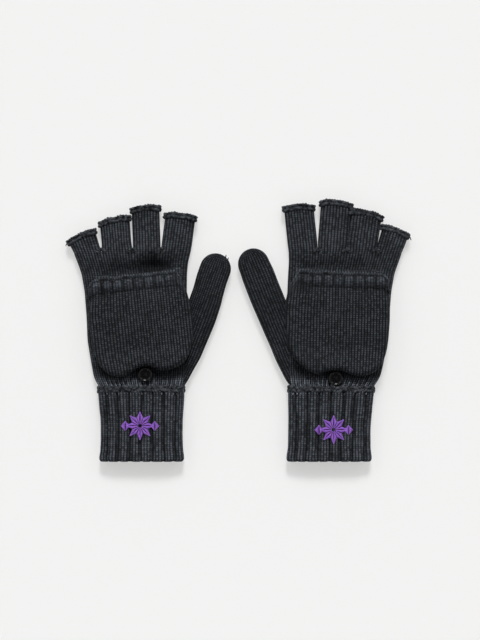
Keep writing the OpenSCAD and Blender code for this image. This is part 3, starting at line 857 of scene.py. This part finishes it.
def cuffSheets(side, m, rows, inward):
    # rows are [y, how far in from the outer face]; inward turns the faces to the inside
    halfHeight, square = cuffLook["halfHeight"], cuffLook["square"]
    length = ringPoints(cuffSize(m, foldY + 30)[1], halfHeight, np.array([0.0]), square)[4]
    count = round(length / cuffLook["rib"])
    share = np.linspace(0, 1, count * cuffLook["perRib"] + 1)
    xs, ys, zs, courses, shadesAndTones, run, before = [], [], [], [], [], 0, None
    for y, depth in rows:
        centre, width = cuffSize(m, y)
        px, pz, nx, nz, _ = ringPoints(width - depth, halfHeight - depth * 0.98, share, square)
        rib, fine = ribWave(count, share, y, cuffLook["seed"][side])
        out = cuffLook["depth"] * (rib - 1) + 0.5 * fine - 0.2
        if inward:
            out = -out * 0.7
        fade = 1 - 0.45 * math.exp(-((y - foldY) / 2.5) ** 2)
        px, pz = px + nx * out * fade, pz + nz * out * fade
        if before is not None:
            run += math.hypot(y - before[0], depth - before[1])
        before = (y, depth)
        xs.append(px + centre)
        ys.append(y - 0.35 * (rib - 0.5) * math.exp(-((y - foldY) / 4) ** 2))
        zs.append(np.maximum(pz + halfHeight, justAboveTable))
        courses.append(np.full_like(px, run / knit["course"]))
        # painted shade down in the furrows between the ribs
        shadesAndTones.append(0.42 + 0.7 * rib)
    wales = np.broadcast_to(share * count * 4, np.shape(xs))
    return [sheet(np.array(xs), np.array(ys), np.array(zs), wales, np.array(courses), flip=inward,
                  relief=np.array(shadesAndTones))]


def cuffEdgePath(side, m, y, inward):
    centre, width = cuffSize(m, y)
    halfHeight = cuffLook["halfHeight"]
    share = np.linspace(0, 1, 97)[:-1]
    px, pz, *_ = ringPoints(width - inward, halfHeight - inward * 0.4, share, cuffLook["square"])
    wave = np.array([noise.noise(Vector((x / 6, z / 6, 2.5))) for x, z in zip(px, pz)])
    height = np.maximum(pz + halfHeight + 0.1, chainLook["lowest"])
    return np.stack([(px + centre) * acrossPair[side], y + wave * 1.6, height], 1)


flapLook = {
    "half": 45, "mouth": 4.0,
    "reach": {"left": 92.4, "right": 95},       # from the hinge line to the rounded end
    "square": {"thumb": 4.2, "little": 5.2},    # how square the two corners of its end are
    "notch": {"left": 8.0, "right": 5.0},       # how far the loop draws the end back
    "notchHalf": 13,
    "lift": {"left": 1.6, "right": 2.4},        # how far the loop lifts the end
    "low": 12.75,        # underside, just clear of the hand
    "raised": 2.6,       # how far the end lies above that, over the button's shank
    "thick": 7.5,        # through both layers at the middle
    "wall": 1.4,
    "edgeRadius": 4.2,
    "droop": 2.2,        # of its sides
    "cornerRadius": 8,   # at the little finger's end of the mouth
    "welt": 12.5, "ribs": 9.3, "ribRise": 2.0,
    "swell": {"left": (0, 2.8), "right": (1.7, 1.4)},     # towards the thumb, towards the little finger
    "thumbCut": {"left": (2.2, 6, 14), "right": (4.2, 14, 20)},
    # how the thumb side's upper corner is cut back: in from the side, down from the mouth
    "corner": {"left": [(0, 45), (1, 34), (4, 18), (7.3, 6), (11, 0.6), (14, 0)],
               "right": [(0, 26), (1.5, 15), (4, 8.5), (8.3, 1.2), (11, 0)]},
    "lumpSeed": {"left": 11.3, "right": 17.9},
}


def flapShape(side):
    at, along, down = hingeLine(side)
    button = nodeBox(side + "_button")[2][:2] - at[:2]
    return {"side": side, "thumbSign": -1 if side == "left" else 1, "at": at, "along": along, "down": down,
            "reach": flapLook["reach"][side] - flapLook["mouth"], "notch": flapLook["notch"][side],
            "lift": flapLook["lift"][side], "buttonX": button @ along, "buttonV": button @ down}


def onFlap(shape, x, v):
    # a place across the flap and down it, in the frame of the pair
    return shape["at"][:2] + x * shape["along"] + v * shape["down"]


def flapEndAtButton(shape):
    return flapEnds(shape, np.array([shape["buttonX"]]))[1][0]


def flapEnds(shape, x):
    # how far down the flap its mouth and its rounded end are, at x across it
    half = flapLook["half"]
    square = np.where(x * shape["thumbSign"] > 0, flapLook["square"]["thumb"], flapLook["square"]["little"])
    body = shape["reach"] * (1 - np.minimum(1, np.abs(x / half)) ** square) ** (1 / square)
    tent = shape["notch"] * np.exp(-np.abs((x - shape["buttonX"]) / flapLook["notchHalf"]) ** 2.8)
    cut, near, far = flapLook["thumbCut"][shape["side"]]
    tent = tent + cut * smoothStep((x * shape["thumbSign"] - near) / far)
    inset = half - np.abs(x)
    insets, downs = zip(*flapLook["corner"][shape["side"]])
    thumbCorner = np.interp(inset, insets, downs)
    radius = flapLook["cornerRadius"]
    littleCorner = radius - np.sqrt(np.maximum(0, radius ** 2 - np.maximum(0, radius - inset) ** 2))
    corner = np.where(x * shape["thumbSign"] > 0, thumbCorner, littleCorner)
    return flapLook["mouth"] + corner, flapLook["mouth"] + body - tent


def flapToPair(shape, x, v):
    # from the flap's own frame to the distances that the recipe uses; its sides swell a little
    toThumb, toLittle = flapLook["swell"][shape["side"]]
    share = np.abs(x) / flapLook["half"]
    swell = np.where(x * shape["thumbSign"] > 0, toThumb * shape["thumbSign"], -toLittle * shape["thumbSign"])
    x = x + swell * smoothStep(share) * smoothStep((v - 10) / 30) * smoothStep((96 - v) / 30)
    px = shape["at"][0] + x * shape["along"][0] + v * shape["down"][0]
    py = shape["at"][1] + x * shape["along"][1] + v * shape["down"][1]
    return px * acrossPair[shape["side"]], py


def stitchDashes(shape, x):
    # the seam under the welt shows as dashes, fading towards the thumb
    phase = np.abs(np.cos(np.pi * x / flapLook["ribs"]))
    fade = 0.25 + 0.75 * smoothStep((18 - x * shape["thumbSign"]) / 45)
    return smoothStep((0.86 - phase) / 0.2) * fade


def underWelt(shape, x, v, below, width):
    # 1 along the seam under the welt, falling to nothing on both sides of it
    return np.exp(-((v - flapEnds(shape, x)[0] - flapLook["welt"] - below) / width) ** 2)


def flapHeights(shape, x, v):
    share = np.abs(x / flapLook["half"])
    edgeX = np.linspace(-flapLook["half"], flapLook["half"], 161)
    start, end = flapEnds(shape, edgeX)
    end = np.maximum(end, start)
    lines = [np.stack([edgeX, end], 1)]
    for half in (edgeX < 0, edgeX > 0):
        corner = half & (start > flapLook["mouth"] + 1.2)
        lines.append(np.stack([edgeX[corner], start[corner]], 1))
    d = distanceTo(lines, x, v)
    full = roundEdge(d, flapLook["edgeRadius"])
    mouthFlat = 0.62 + 0.38 * smoothStep((v - 6) / 26)
    depth = np.clip(v / (shape["reach"] + flapLook["mouth"]), 0, 1)
    tent = np.exp(-((x - shape["buttonX"]) / 10) ** 4 - (np.minimum(0, v - shape["reach"] + 7) / 7) ** 2)
    thick = flapLook["thick"] * (0.22 + 0.78 * full) * mouthFlat
    droop = flapLook["droop"] * share ** 4 * smoothStep((v - 6) / 20)
    droop = droop * (1 - 0.7 * smoothStep((depth - 0.75) / 0.15))
    raised = flapLook["raised"] * smoothStep((depth - 0.72) / 0.2)
    low = flapLook["low"] - droop + np.maximum(tent * shape["lift"], raised)
    lump = cloudy(x, v, 21, flapLook["lumpSeed"][shape["side"]]) * 0.9 * full
    # small gathers fan out from where the cord loop pulls the end seam up
    dx, dv = x - shape["buttonX"], flapEndAtButton(shape) + 3 - v
    far = np.hypot(dx, dv)
    fan = np.cos(np.arctan2(dx, np.maximum(dv, 0.01)) * 13) * np.exp(-far / 13) * np.minimum(1, far / 4) * 1.1
    groove = 0.5 * stitchDashes(shape, x) * underWelt(shape, x, v, 0.2, 0.9)
    top = low + thick + lump + fan * full - groove
    return np.maximum(top, low + 0.6), low, full


def flapSheets(side, shape):
    half = flapLook["half"] - 0.15
    x = waleColumns(-half, half)
    start, end = flapEnds(shape, x)
    end = np.maximum(end, start + 0.02)
    rows = np.concatenate([np.linspace(0, 0.93, 44), [0.95, 0.965, 0.977, 0.987, 0.994, 1.0]])
    vv = start + (end - start) * rows[:, None]
    xx = np.broadcast_to(x, vv.shape)
    top, low, full = flapHeights(shape, xx, vv)
    ridge = waleRidge(xx) * knit["ridge"] * 1.15
    endFade = np.minimum(1, full * 1.4)
    outTop, outLow = top + ridge * endFade, low - ridge * 0.5 * endFade
    px, py = flapToPair(shape, xx, vv)
    wale, course = xx / knit["wale"], -vv / knit["course"]
    turn = acrossPair[side] < 0
    # painted shade along the seam under the welt, in dashes, as down in its groove
    shade = 1 - 0.8 * underWelt(shape, xx, vv, 0.6, 1.1) * stitchDashes(shape, xx)
    sheets = [sheet(px, py, outTop, wale, course, flip=not turn, relief=shade),
              sheet(px, py, outLow, wale, course, flip=turn)]
    # the side and end seams close the two layers
    for edge, over in ((np.s_[-1], False), (np.s_[:, 0], True), (np.s_[:, -1], False)):
        ex, ey, upper, lower = px[edge], py[edge], outTop[edge], outLow[edge]
        z = np.stack([upper, (upper + lower) / 2, lower])
        sheets.append(sheet(np.stack([ex] * 3), np.stack([ey] * 3), z, np.arange(len(ex))[None, :] / 5.0,
                            np.array([[0.0], [0.5], [1.0]]), flip=over == turn))
    # inside of the pocket, seen through its mouth
    inside = np.s_[0:30:3, 2:-2:3]
    wall = flapLook["wall"]
    mid = (top + low) / 2
    upper, lower = np.maximum(top - wall, mid + 0.15), np.minimum(low + wall, mid - 0.15)
    for z, over in ((upper, turn), (lower, not turn)):
        sheets.append(sheet(*(part[inside] for part in (px, py, z, wale, course)), flip=over))
    return sheets


# the welt's section from its seam up to the mouth and back inside: share of its length, height
weltPath = [(1.0, -0.4), (0.985, 0.0), (0.95, 0.14), (0.87, 0.35), (0.75, 0.65), (0.62, 0.9), (0.5, 1.0),
            (0.4, 1.0), (0.31, 0.9), (0.24, 0.6), (0.175, 0.2), (0.125, 0.45), (0.09, 0.9), (0.05, 0.95),
            (0.015, 0.55), (0.0, 0.1), (0.0, -0.45), (0.05, -1.0), (0.25, -1.2), (0.6, -1.25)]
weltBead = 10       # its row at the dip between the lobes and the bead along the rim
weltRim = 16        # its row where the bead's one column of stitches ends


def weltSheets(side, shape):
    # a ribbed hem over the edge of the upper layer: down its face, round the edge and back inside
    half = flapLook["half"] - 0.6
    x = waleColumns(-half, half)
    start, end = flapEnds(shape, x)
    end = np.maximum(end, start + 1)
    length = np.minimum(flapLook["welt"], (end - start) * 0.8)
    length = length * (1 - 0.97 * smoothStep((start - 14) / 9))
    rib = np.abs(np.cos(np.pi * x / flapLook["ribs"]))
    tidy = 0.35 + 0.65 * smoothStep((34 - x * shape["thumbSign"]) / 12)     # the lobes blur at the thumb
    uneven = cloudy(x, x * 0, 9, 5.5)
    vv = np.stack([start + length * share - 0.5 * max(0, 1 - share * 10) for share, _ in weltPath])
    xx = np.broadcast_to(x, vv.shape)
    top = flapHeights(shape, xx, np.maximum(vv, start))[0]
    zs, shadesAndTones = [], []
    for k, ((share, lift), row) in enumerate(zip(weltPath, top)):
        narrow = 0.3 + 0.5 * max(0, 1 - (share - 0.2) / 0.25)      # the lobes are round at their upper ends
        lobe = smoothStep((rib - narrow + 0.3) / 0.62) * tidy
        if k < weltBead:
            high = flapLook["ribRise"] * lobe * math.sin(math.pi * min(1, 0.03 + 0.97 * (1 - share)))
            # the lobes are painted lighter, as light falling on them, paler still where they blur towards the
            # thumb, with an uneven tone
            lit = 0.4 + 1.15 * lobe * (1.15 - 0.5 * share)
            shadesAndTones.append(lit * (1 + 0.4 * uneven) + 0.35 * (1 - tidy))
        else:
            high = 0
            # painted shade in the dip between the lobes and the bead; the bead itself has an uneven tone
            shadesAndTones.append(np.full_like(x, 0.34) if k == weltBead else 0.85 + 1.2 * uneven)
        ridge = waleRidge(x) * knit["ridge"] * (1 if k < weltBead else 0.1)
        zs.append(row + lift * (1.0 if lift > 0 else 1.6) + high + ridge)
    px, py = flapToPair(shape, xx, vv)
    z, relief = np.array(zs), np.array(shadesAndTones)
    steps = [abs(a[0] - b[0]) * 6.5 + 0.25 for a, b in zip(weltPath, weltPath[1:])]
    run = np.cumsum([0] + steps)[:, None] + 0 * xx
    turn = acrossPair[side] < 0
    face, rim = slice(0, weltBead + 1), slice(weltBead, None)
    along = xx / knit["course"]                  # the bead is one column of stitches lying along the rim
    across = 0.08 + 0.84 * (run - run[weltBead]) / (run[weltRim] - run[weltBead])
    return [sheet(px[face], py[face], z[face], xx[face] / knit["wale"], run[face], flip=turn,
                  relief=relief[face]),
            sheet(px[rim], py[rim], z[rim], across[rim], along[rim], flip=turn, relief=relief[rim])]


seamLook = {"thick": 0.9, "inset": 7, "fold": 12.8, "blend": (-1.2, 6.8)}


def seamSheets(side, shape):
    # the fold of knitting that the flap hangs from, rising from the hand to its lower layer
    half = flapLook["half"] - seamLook["inset"]
    x = waleColumns(-half, half)
    handTop = handHeights(side, mittens[side], *flapToPair(shape, x, np.full_like(x, -1.5)))[0]
    low = flapHeights(shape, x, np.full_like(x, 8.0))[1]
    # how far down the flap, and either a height or how far above the hand or the flap
    path = [(-1.6, None, -1.2), (-0.6, None, -0.1), (0.6, None, 0.6), (1.8, None, 1.3), (3.0, 12.9, 0),
            (4.2, 13.4, 0), (5.6, 13.5, 0), (7.2, None, 0.9), (9, None, 0.6)]
    ends = 1 - smoothStep((np.abs(x) - half + 6) / 6)
    fold = seamLook["fold"]
    zs = []
    for v, z, lift in path:
        base = handTop if v < 2 else low
        zs.append(base + lift if z is None else (z - fold) * ends + fold + waleRidge(x) * 0.25)
    vv = np.stack([np.full_like(x, v) for v, *_ in path])
    xx = np.broadcast_to(x, vv.shape)
    px, py = flapToPair(shape, xx, vv)
    z = np.array(zs)
    turn = acrossPair[side] < 0
    wale, course = xx / knit["wale"], vv / knit["course"]
    sheets = [sheet(px, py, z, wale, course, flip=not turn),
              sheet(px, py, z - seamLook["thick"], wale, course, flip=turn)]
    rimStitches = (wale[:2], course[:2])
    for edge, stitches, over in ((np.s_[0], rimStitches, turn), (np.s_[-1], rimStitches, not turn),
                                 (np.s_[:, 0], (0, 0), not turn), (np.s_[:, -1], (0, 0), turn)):
        layers = np.stack([z[edge], z[edge] - seamLook["thick"]])
        sheets.append(sheet(np.stack([px[edge]] * 2), np.stack([py[edge]] * 2), layers, *stitches, flip=over))
    return sheets


buttonLook = {
    "height": 3.0, "dishFloor": 1.85, "hole": 0.85, "holeAt": 2.4,
    # its section from the middle of its back round its rim to the middle of its dish: radius, height
    "profile": [(0, 0.1), (1.5, 0.15), (2.6, 0.5), (4.2, 0.85), (5.4, 1.0), (6.15, 1.2), (6.5, 1.6),
                (6.42, 2.1), (6.15, 2.6), (5.75, 2.86), (5.35, 3.0), (5.0, 2.95), (4.72, 2.75), (4.5, 2.4),
                (4.42, 1.97), (4.3, 1.87), (4.1, 1.85), (0, 1.9)],
}


def buttonPiece(side):
    low, _, (cx, cy, _) = nodeBox(side + "_button")
    base, profile = low[2], buttonLook["profile"]
    steps = 72
    points, faces = [], []
    for pr, pz in profile:
        for k in range(steps):
            a = 2 * math.pi * k / steps
            points.append((cx + pr * math.cos(a), cy + pr * math.sin(a), base + pz))
    for i in range(len(profile) - 1):
        for k in range(steps):
            n = (k + 1) % steps
            faces.append((i * steps + k, i * steps + n, (i + 1) * steps + n, (i + 1) * steps + k))
    piece = plainPiece(side + "Button", points, faces, buttonResin)
    work = bmesh.new()
    work.from_mesh(piece.data)
    bmesh.ops.remove_doubles(work, verts=work.verts, dist=weldWithin * mm)
    bmesh.ops.recalc_face_normals(work, faces=work.faces)
    work.to_mesh(piece.data)
    work.free()
    # four holes, cut clean through
    drills = []
    for k in range(4):
        a = math.pi / 4 + k * math.pi / 2
        hx, hy = cx + buttonLook["holeAt"] * math.cos(a), cy + buttonLook["holeAt"] * math.sin(a)
        through = [(hx, hy, base - 1), (hx, hy, base + buttonLook["height"] + 1)]
        drills.append(tubeAlong(through, buttonLook["hole"], 20))
    drill = plainPiece(side + "Drill", *gather(drills), buttonResin)
    cut = piece.modifiers.new("holes", "BOOLEAN")
    cut.operation, cut.object, cut.solver = "DIFFERENCE", drill, "EXACT"
    baked(piece)
    bpy.data.objects.remove(drill)
    return piece


threadLook = {
    "thick": 0.2, "strands": (-0.32, 0, 0.32), "points": 13,
    "spread": 1.12,      # a strand is over its hole a little before its own end
    "sinkFrom": 0.84, "sink": 6,
    "over": 0.35, "cross": 0.28, "bow": 0.25,     # above the dish, above the first pair, at the middle
}
shankLook = {"core": 1.0, "wrap": 0.3, "wrapAt": 1.05, "turns": 5, "perTurn": 16, "foot": 0.6,
             "wrapBelow": 0.4, "wrapLonger": 0.3}


def threadPiece(side):
    low, _, (cx, cy, _) = nodeBox(side + "_button")
    dish = low[2] + buttonLook["dishFloor"]
    parts = []
    for pair, angle in enumerate((math.pi / 4, 3 * math.pi / 4)):
        c, sn = math.cos(angle), math.sin(angle)
        for strand in threadLook["strands"]:
            route = []
            for share in np.linspace(-1, 1, threadLook["points"]):
                reach = buttonLook["holeAt"] * np.clip(share * threadLook["spread"], -1, 1)
                sink = max(0, abs(share) - threadLook["sinkFrom"]) * threadLook["sink"]
                bow = threadLook["bow"] * (1 - share ** 2)
                z = dish + threadLook["over"] + threadLook["cross"] * pair + bow - sink
                route.append((cx + reach * c - sn * strand, cy + reach * sn + c * strand, z))
            parts.append(tubeAlong(route, threadLook["thick"], 7))
    return plainPiece(side + "ButtonThread", *gather(parts), sewingThread)


def shankPiece(side):
    low, high, (cx, cy, _) = nodeBox(side + "_button_shank")
    foot, top = low[2] - shankLook["foot"], high[2]
    steps = shankLook["perTurn"] * shankLook["turns"]
    wrap, wrapFrom = [], low[2] - shankLook["wrapBelow"]
    wrapRise = top - low[2] + shankLook["wrapLonger"]
    for k in range(steps + 1):
        a = 2 * math.pi * k / shankLook["perTurn"]
        x, y = cx + shankLook["wrapAt"] * math.cos(a), cy + shankLook["wrapAt"] * math.sin(a)
        wrap.append((x, y, wrapFrom + wrapRise * k / steps))
    parts = [tubeAlong([(cx, cy, foot), (cx, cy, top)], shankLook["core"], 12),
             tubeAlong(wrap, shankLook["wrap"], 6)]
    piece = plainPiece(side + "ButtonShank", *gather(parts), sewingThread)
    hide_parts(side + "_button_shank")
    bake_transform(piece)


cordLook = {"radius": 0.72, "bend": 2.5, "underButton": 1.35, "points": 60}


def loopPiece(side, shape):
    z = nodeBox(side + "_button")[0][2] - cordLook["underButton"]
    end, bend = flapEndAtButton(shape), cordLook["bend"]
    # out of the seam, down in front of the button's edge, and round the shank
    half = [(-1.2, end - 1.5, 15.4), (-1.35, end - 0.5, 14.2), (-1.6, end + 0.5, 13.3), (-2.0, end + 1.9, z)]
    turn = np.linspace(math.pi, 0, 13)
    points = half + [(bend * math.cos(a), shape["buttonV"] + bend * math.sin(a), z) for a in turn]
    points += [(-x, v, height) for x, v, height in reversed(half)]
    route = finer(points, cordLook["points"])
    for _ in range(3):
        route[1:-1] = (route[:-2] + 2 * route[1:-1] + route[2:]) / 4
    route = [(*onFlap(shape, x + shape["buttonX"], v), height) for x, v, height in route]
    return plainPiece(side + "CordLoop", *tubeAlong(route, cordLook["radius"], 12), elasticCord)


tackLook = {"turns": 6, "spacing": 0.84, "radius": 0.36, "reach": 2.5, "rise": 1.75, "middle": 16.4,
            "back": 2.0, "arc": 0.6, "points": 12}


def tackPiece(side, shape):
    # a few turns of thread over the end seam hold the cord
    middle, arc = flapEndAtButton(shape) - tackLook["back"], tackLook["arc"] * math.pi
    parts = []
    for k in range(tackLook["turns"]):
        x = shape["buttonX"] + tackLook["spacing"] * (k - (tackLook["turns"] - 1) / 2)
        route = []
        for a in np.linspace(-arc, arc, tackLook["points"]):
            place = onFlap(shape, x, middle + tackLook["reach"] * math.cos(a))
            route.append((*place, tackLook["middle"] + tackLook["rise"] * math.sin(a)))
        parts.append(tubeAlong(route, tackLook["radius"], 7))
    return plainPiece(side + "LoopTack", *gather(parts), sewingThread)


motifLook = {
    "petals": 8, "petal": 12.5, "petalHalf": 2.6, "petalStart": 1.7,
    "shoulder": 0.58,    # how far along a petal it is widest
    "diamond": 4.0, "diamondAt": 13.0,
    "thread": 0.31, "pitch": 0.62, "rise": 0.95, "sunk": 0.75, "shortest": 0.25,
    "part": 0.42,        # between the threads of a leaf's two halves
    "skew": (-0.05, 0.09),    # the threads slant towards the tip
    "layers": 2,         # every leaf is stitched twice over
}


def satinRoutes(start, tip, corner):
    # threads lie side by side from the spine of a leaf out to one of its edges
    start, tip, corner = np.array(start), np.array(tip), np.array(corner)
    near, far = np.linalg.norm(corner - start), np.linalg.norm(tip - corner)
    split = near / (near + far)
    count = max(3, round(np.linalg.norm(tip - start) / motifLook["pitch"]))
    apart = corner - (start + tip) / 2
    apart = apart / np.linalg.norm(apart) * motifLook["part"]
    routes = []
    for k in range(count):
        share = (k + 0.5) / count
        inner, outer = (np.clip(share + skew, 0, 1) for skew in motifLook["skew"])
        p = start + (tip - start) * inner + apart
        if outer < split:
            q = start + (corner - start) * outer / split
        else:
            q = corner + (tip - corner) * (outer - split) / (1 - split)
        if np.linalg.norm(q - p) < motifLook["shortest"]:
            continue
        along = np.linspace(0, 1, 6)
        rise = motifLook["rise"] * np.sin(math.pi * (0.12 + 0.8 * along))
        routes.append(np.column_stack([p + np.outer(along, q - p), rise]))
    return routes


def motifPiece(side):
    _, high, middle = nodeBox(side + "_motif")
    leaves = []
    for k in range(motifLook["petals"]):
        a = 2 * math.pi * k / motifLook["petals"]
        turn = np.array([[math.cos(a), -math.sin(a)], [math.sin(a), math.cos(a)]])
        length = motifLook["petal"]
        for half in (motifLook["petalHalf"], -motifLook["petalHalf"]):
            leaves.append((turn @ (motifLook["petalStart"], 0), turn @ (length, 0),
                           turn @ (motifLook["shoulder"] * length, half)))
    for x in (-motifLook["diamondAt"], motifLook["diamondAt"]):
        for half in (motifLook["diamond"], -motifLook["diamond"]):
            leaves.append(((x, -motifLook["diamond"]), (x, motifLook["diamond"]), (x + half, 0)))
    base = (*middle[:2], high[2] - motifLook["sunk"])
    parts = []
    for leaf in leaves:
        threads = [tubeAlong(route + base, motifLook["thread"], 6) for route in satinRoutes(*leaf)]
        parts += threads * motifLook["layers"]
    return plainPiece(side + "Motif", *gather(parts), purpleThread)


backingLook = {"steps": 12, "sunk": 1.6, "lump": 0.08, "lumpSize": 4}


def backingPiece(side):
    low, high, _ = nodeBox(side + "_motif_backing")
    steps, sunk, size = (backingLook[part] for part in ("steps", "sunk", "lumpSize"))
    xs, ys = np.linspace(low[0], high[0], steps), np.linspace(low[1], high[1], steps)
    points, faces = [], []
    for z, y, x in itertools.product((high[2] - sunk, low[2] - sunk), ys, xs):
        points.append((x, y, z + backingLook["lump"] * noise.noise(Vector((x / size, y / size, 1.0)))))
    n = steps * steps
    for i in range(steps - 1):
        for k in range(steps - 1):
            a = i * steps + k
            faces.append((a, a + 1, a + steps + 1, a + steps))
            faces.append((n + a, n + a + steps, n + a + steps + 1, n + a + 1))
    rim = [*range(steps)] + [steps * k + steps - 1 for k in range(1, steps)]
    rim += [n - 1 - k for k in range(1, steps)] + [steps * (steps - 1 - k) for k in range(1, steps - 1)]
    for a, b in zip(rim, rim[1:] + rim[:1]):
        faces.append((b, a, n + a, n + b))
    return plainPiece(side + "MotifBacking", points, faces, backingFleece)


def ready(piece, body, slotName, *nodes):
    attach(piece, body)
    if nodes:
        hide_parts(*nodes)
    return piece


def makeMitten(side):
    m = mittens[side]
    m["lines"] = outline(m)
    mitten, flap = side + "_mitten", side + "_flap"
    shape = flapShape(side)

    def name(end):
        return side + end

    hand = knitPiece(name("Hand"), side, handSheets(side, m), handKnit)
    ready(hand, mitten, "body_knit", name("_hand_shell"), *[name(f"_{f}_tube") for f in fingerOrder])
    lining = knitPiece(name("FingerLinings"), side, liningSheets(side, m), handKnit)
    ready(lining, mitten, "body_knit")
    thumb = knitPiece(name("Thumb"), side, thumbSheets(side, m), handKnit)
    ready(thumb, mitten, "body_knit", name("_thumb_tube"), name("_thumb_knot"))
    print(side, "hand and thumb made")

    for k, finger in enumerate(fingerOrder):
        chain = grown(name(finger.capitalize() + "Edge"), [mouthPath(side, m, finger)], True, chainTree,
                      {"Seed": 11 + k, "Axis": fingerAxis(side, m, finger), "Yarn": edgeYarn})
        ready(chain, mitten, "edge_yarn", name(f"_{finger}_edge"))

    crotches = grown(name("Crotches"), crotchPaths(side, m), False, chainTree,
                     {"Seed": 51, "Loop Size": 0.72, "Row Offset": 0.7 * mm, "Yarn": edgeYarn})
    ready(crotches, mitten, "edge_yarn")
    ready(tailPiece(side, m), mitten, "edge_yarn")

    wall = cuffLook["wall"]
    outerRows = [(foldY + up, depth) for up, depth in cuffLook["foldOutside"]]
    outerRows += [(y, 0) for y in np.arange(foldY + 4, wristY + 0.6, cuffLook["rowStep"])]
    outerRows += [(wristY + 0.9, 0.4), (wristY + 0.9, wall), (wristY - 8, wall)]
    turnup = knitPiece(name("CuffTurnup"), side, cuffSheets(side, m, outerRows, False), ribKnit)
    ready(turnup, mitten, "rib_knit", name("_cuff_turnup"))
    innerRows = [(foldY + up, depth) for up, depth in cuffLook["foldInside"]]
    innerRows += [(y, cuffLook["innerDepth"]) for y in np.arange(foldY + 5, wristY, 3)]
    innerCuff = knitPiece(name("CuffInner"), side, cuffSheets(side, m, innerRows, True), ribKnit)
    ready(innerCuff, mitten, "rib_knit", name("_cuff_inner"))
    edge = grown(name("CuffEdge"), [cuffEdgePath(side, m, wristY + 1.0, 0.7)], True, chainTree,
                 {"Seed": 31, "Lean": 0.95, "Yarn": edgeYarn})
    ready(edge, mitten, "edge_yarn", name("_cuff_edge"))
    print(side, "cuff made")

    pocket = knitPiece(name("FlapPocket"), side, flapSheets(side, shape), flapKnit)
    ready(pocket, flap, "body_knit", name("_flap_pocket"))
    welt = knitPiece(name("FlapWelt"), side, weltSheets(side, shape), weltKnit)
    ready(welt, flap, "rib_knit", name("_flap_welt"))
    seam = knitPiece(name("FlapSeam"), side, seamSheets(side, shape), handKnit)
    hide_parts(name("_flap_seam"))
    places = [(*onFlap(shape, 0, v), shape["at"][2]) for v in seamLook["blend"]]
    start, end = (tuple(float(c) * mm for c in place) for place in places)
    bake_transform(seam)
    print(side, "flap made")

    ready(buttonPiece(side), side + "_button_disc", "button_resin", name("_button"))
    ready(threadPiece(side), side + "_button_disc", "sewing_thread", name("_button_thread"))
    shankPiece(side)
    ready(loopPiece(side, shape), side + "_loop", "elastic_cord", name("_cord_loop"))
    ready(tackPiece(side, shape), flap, "sewing_thread", name("_loop_tack"))
    ready(motifPiece(side), mitten, "embroidery_thread", name("_motif"))
    ready(backingPiece(side), mitten, "backing_fleece", name("_motif_backing"))
    print(side, "trim made")


for side in mittens:
    makeMitten(side)

studio = {
    "floor": (colour(0.433, 0.435, 0.431), colour(0.437, 0.439, 0.435)),
    "floorHalf": 4000,
    "floorAt": -0.1,
    "floorGlow": 0.467,      # the table glows with painted light, as a dimly lit light box would, so shadows on it stay pale
    "sky": 0.47,
    "skyLean": 0.7,         # more of the fill comes from behind the fingertips
    "ceilingFrom": 0.86, "ceilingEdge": 10, "ceilingDark": 0.85,
    "lampFrom": 0.994, "lampEdge": 2500,
    # small bright panels round the table, seen only as glints: from where, and how bright
    "lamps": [((-0.6, 0.53, 0.6), 6), ((0.6, 0.53, 0.6), 5),
              ((-0.42, -0.68, 0.6), 3), ((0.42, -0.68, 0.6), 3.6)],
    "key": 2.25,
    "keyFrom": (0.03, 0.755, 0.656),
    "keySize": 0.28,
    "cameraAt": (0.0018, 0.0089, 2.0),
    "viewWidth": 0.4272,     # of the table, from side to side
}


def floorFinish():
    f = Finish("paleFloor")
    base = f.mix(f.lumps(30, 2), *studio["floor"])
    return f.close({"Base Color": base, "Roughness": 0.9, "Specular IOR Level": 0.1,
                    "Emission Color": colour(1, 1, 0.99), "Emission Strength": studio["floorGlow"]})


half = studio["floorHalf"]
corners = [(half * x, half * y, studio["floorAt"]) for x, y in ((-1, -1), (1, -1), (1, 1), (-1, 1))]
floor = plainPiece("paleFloor", corners, [(0, 1, 2, 3)], floorFinish(), smooth=False)

room = Finish("softRoom", "worlds")
direction = room.wire("ShaderNodeTexCoord", "Generated")
toward = room.node("ShaderNodeSeparateXYZ", None, {"Vector": direction})
behind, above = Wire(room, toward.outputs["Y"]), Wire(room, toward.outputs["Z"])
# the ceiling over the camera is dark
overhead = ((above - studio["ceilingFrom"]) * studio["ceilingEdge"]).do("MAXIMUM", 0).do("MINIMUM", 1)
ceiling = 1 - overhead * studio["ceilingDark"]
glow = (behind * studio["skyLean"] + 1) * ceiling * studio["sky"]
for place, strength in studio["lamps"]:
    near = room.wire("ShaderNodeVectorMath", "Value", {"operation": "DOT_PRODUCT"}, {0: direction, 1: place})
    lamp = (near - studio["lampFrom"]) * studio["lampEdge"]
    glow = glow + lamp.do("MAXIMUM", 0).do("MINIMUM", strength)
sky = room.node("ShaderNodeBackground", None, {"Color": (1, 1, 1, 1), "Strength": glow})
room.tree.links.new(sky.outputs[0], room.node("ShaderNodeOutputWorld").inputs["Surface"])
bpy.context.scene.world = room.material

key = bpy.data.lights.new("keyLight", "SUN")
key.energy = studio["key"]
key.angle = studio["keySize"]
placed("keyLight", key).rotation_euler = Vector(studio["keyFrom"]).to_track_quat("Z", "Y").to_euler()

camera = bpy.data.cameras.new("camera")
camera.sensor_fit = "HORIZONTAL"
camera.sensor_width = 36
camera.lens = camera.sensor_width * studio["cameraAt"][2] / studio["viewWidth"]
camera.clip_end = 10
cameraObject = placed("camera", camera)
cameraObject.location = studio["cameraAt"]
bpy.context.scene.camera = cameraObject
bpy.context.scene.view_settings.view_transform = "Standard"
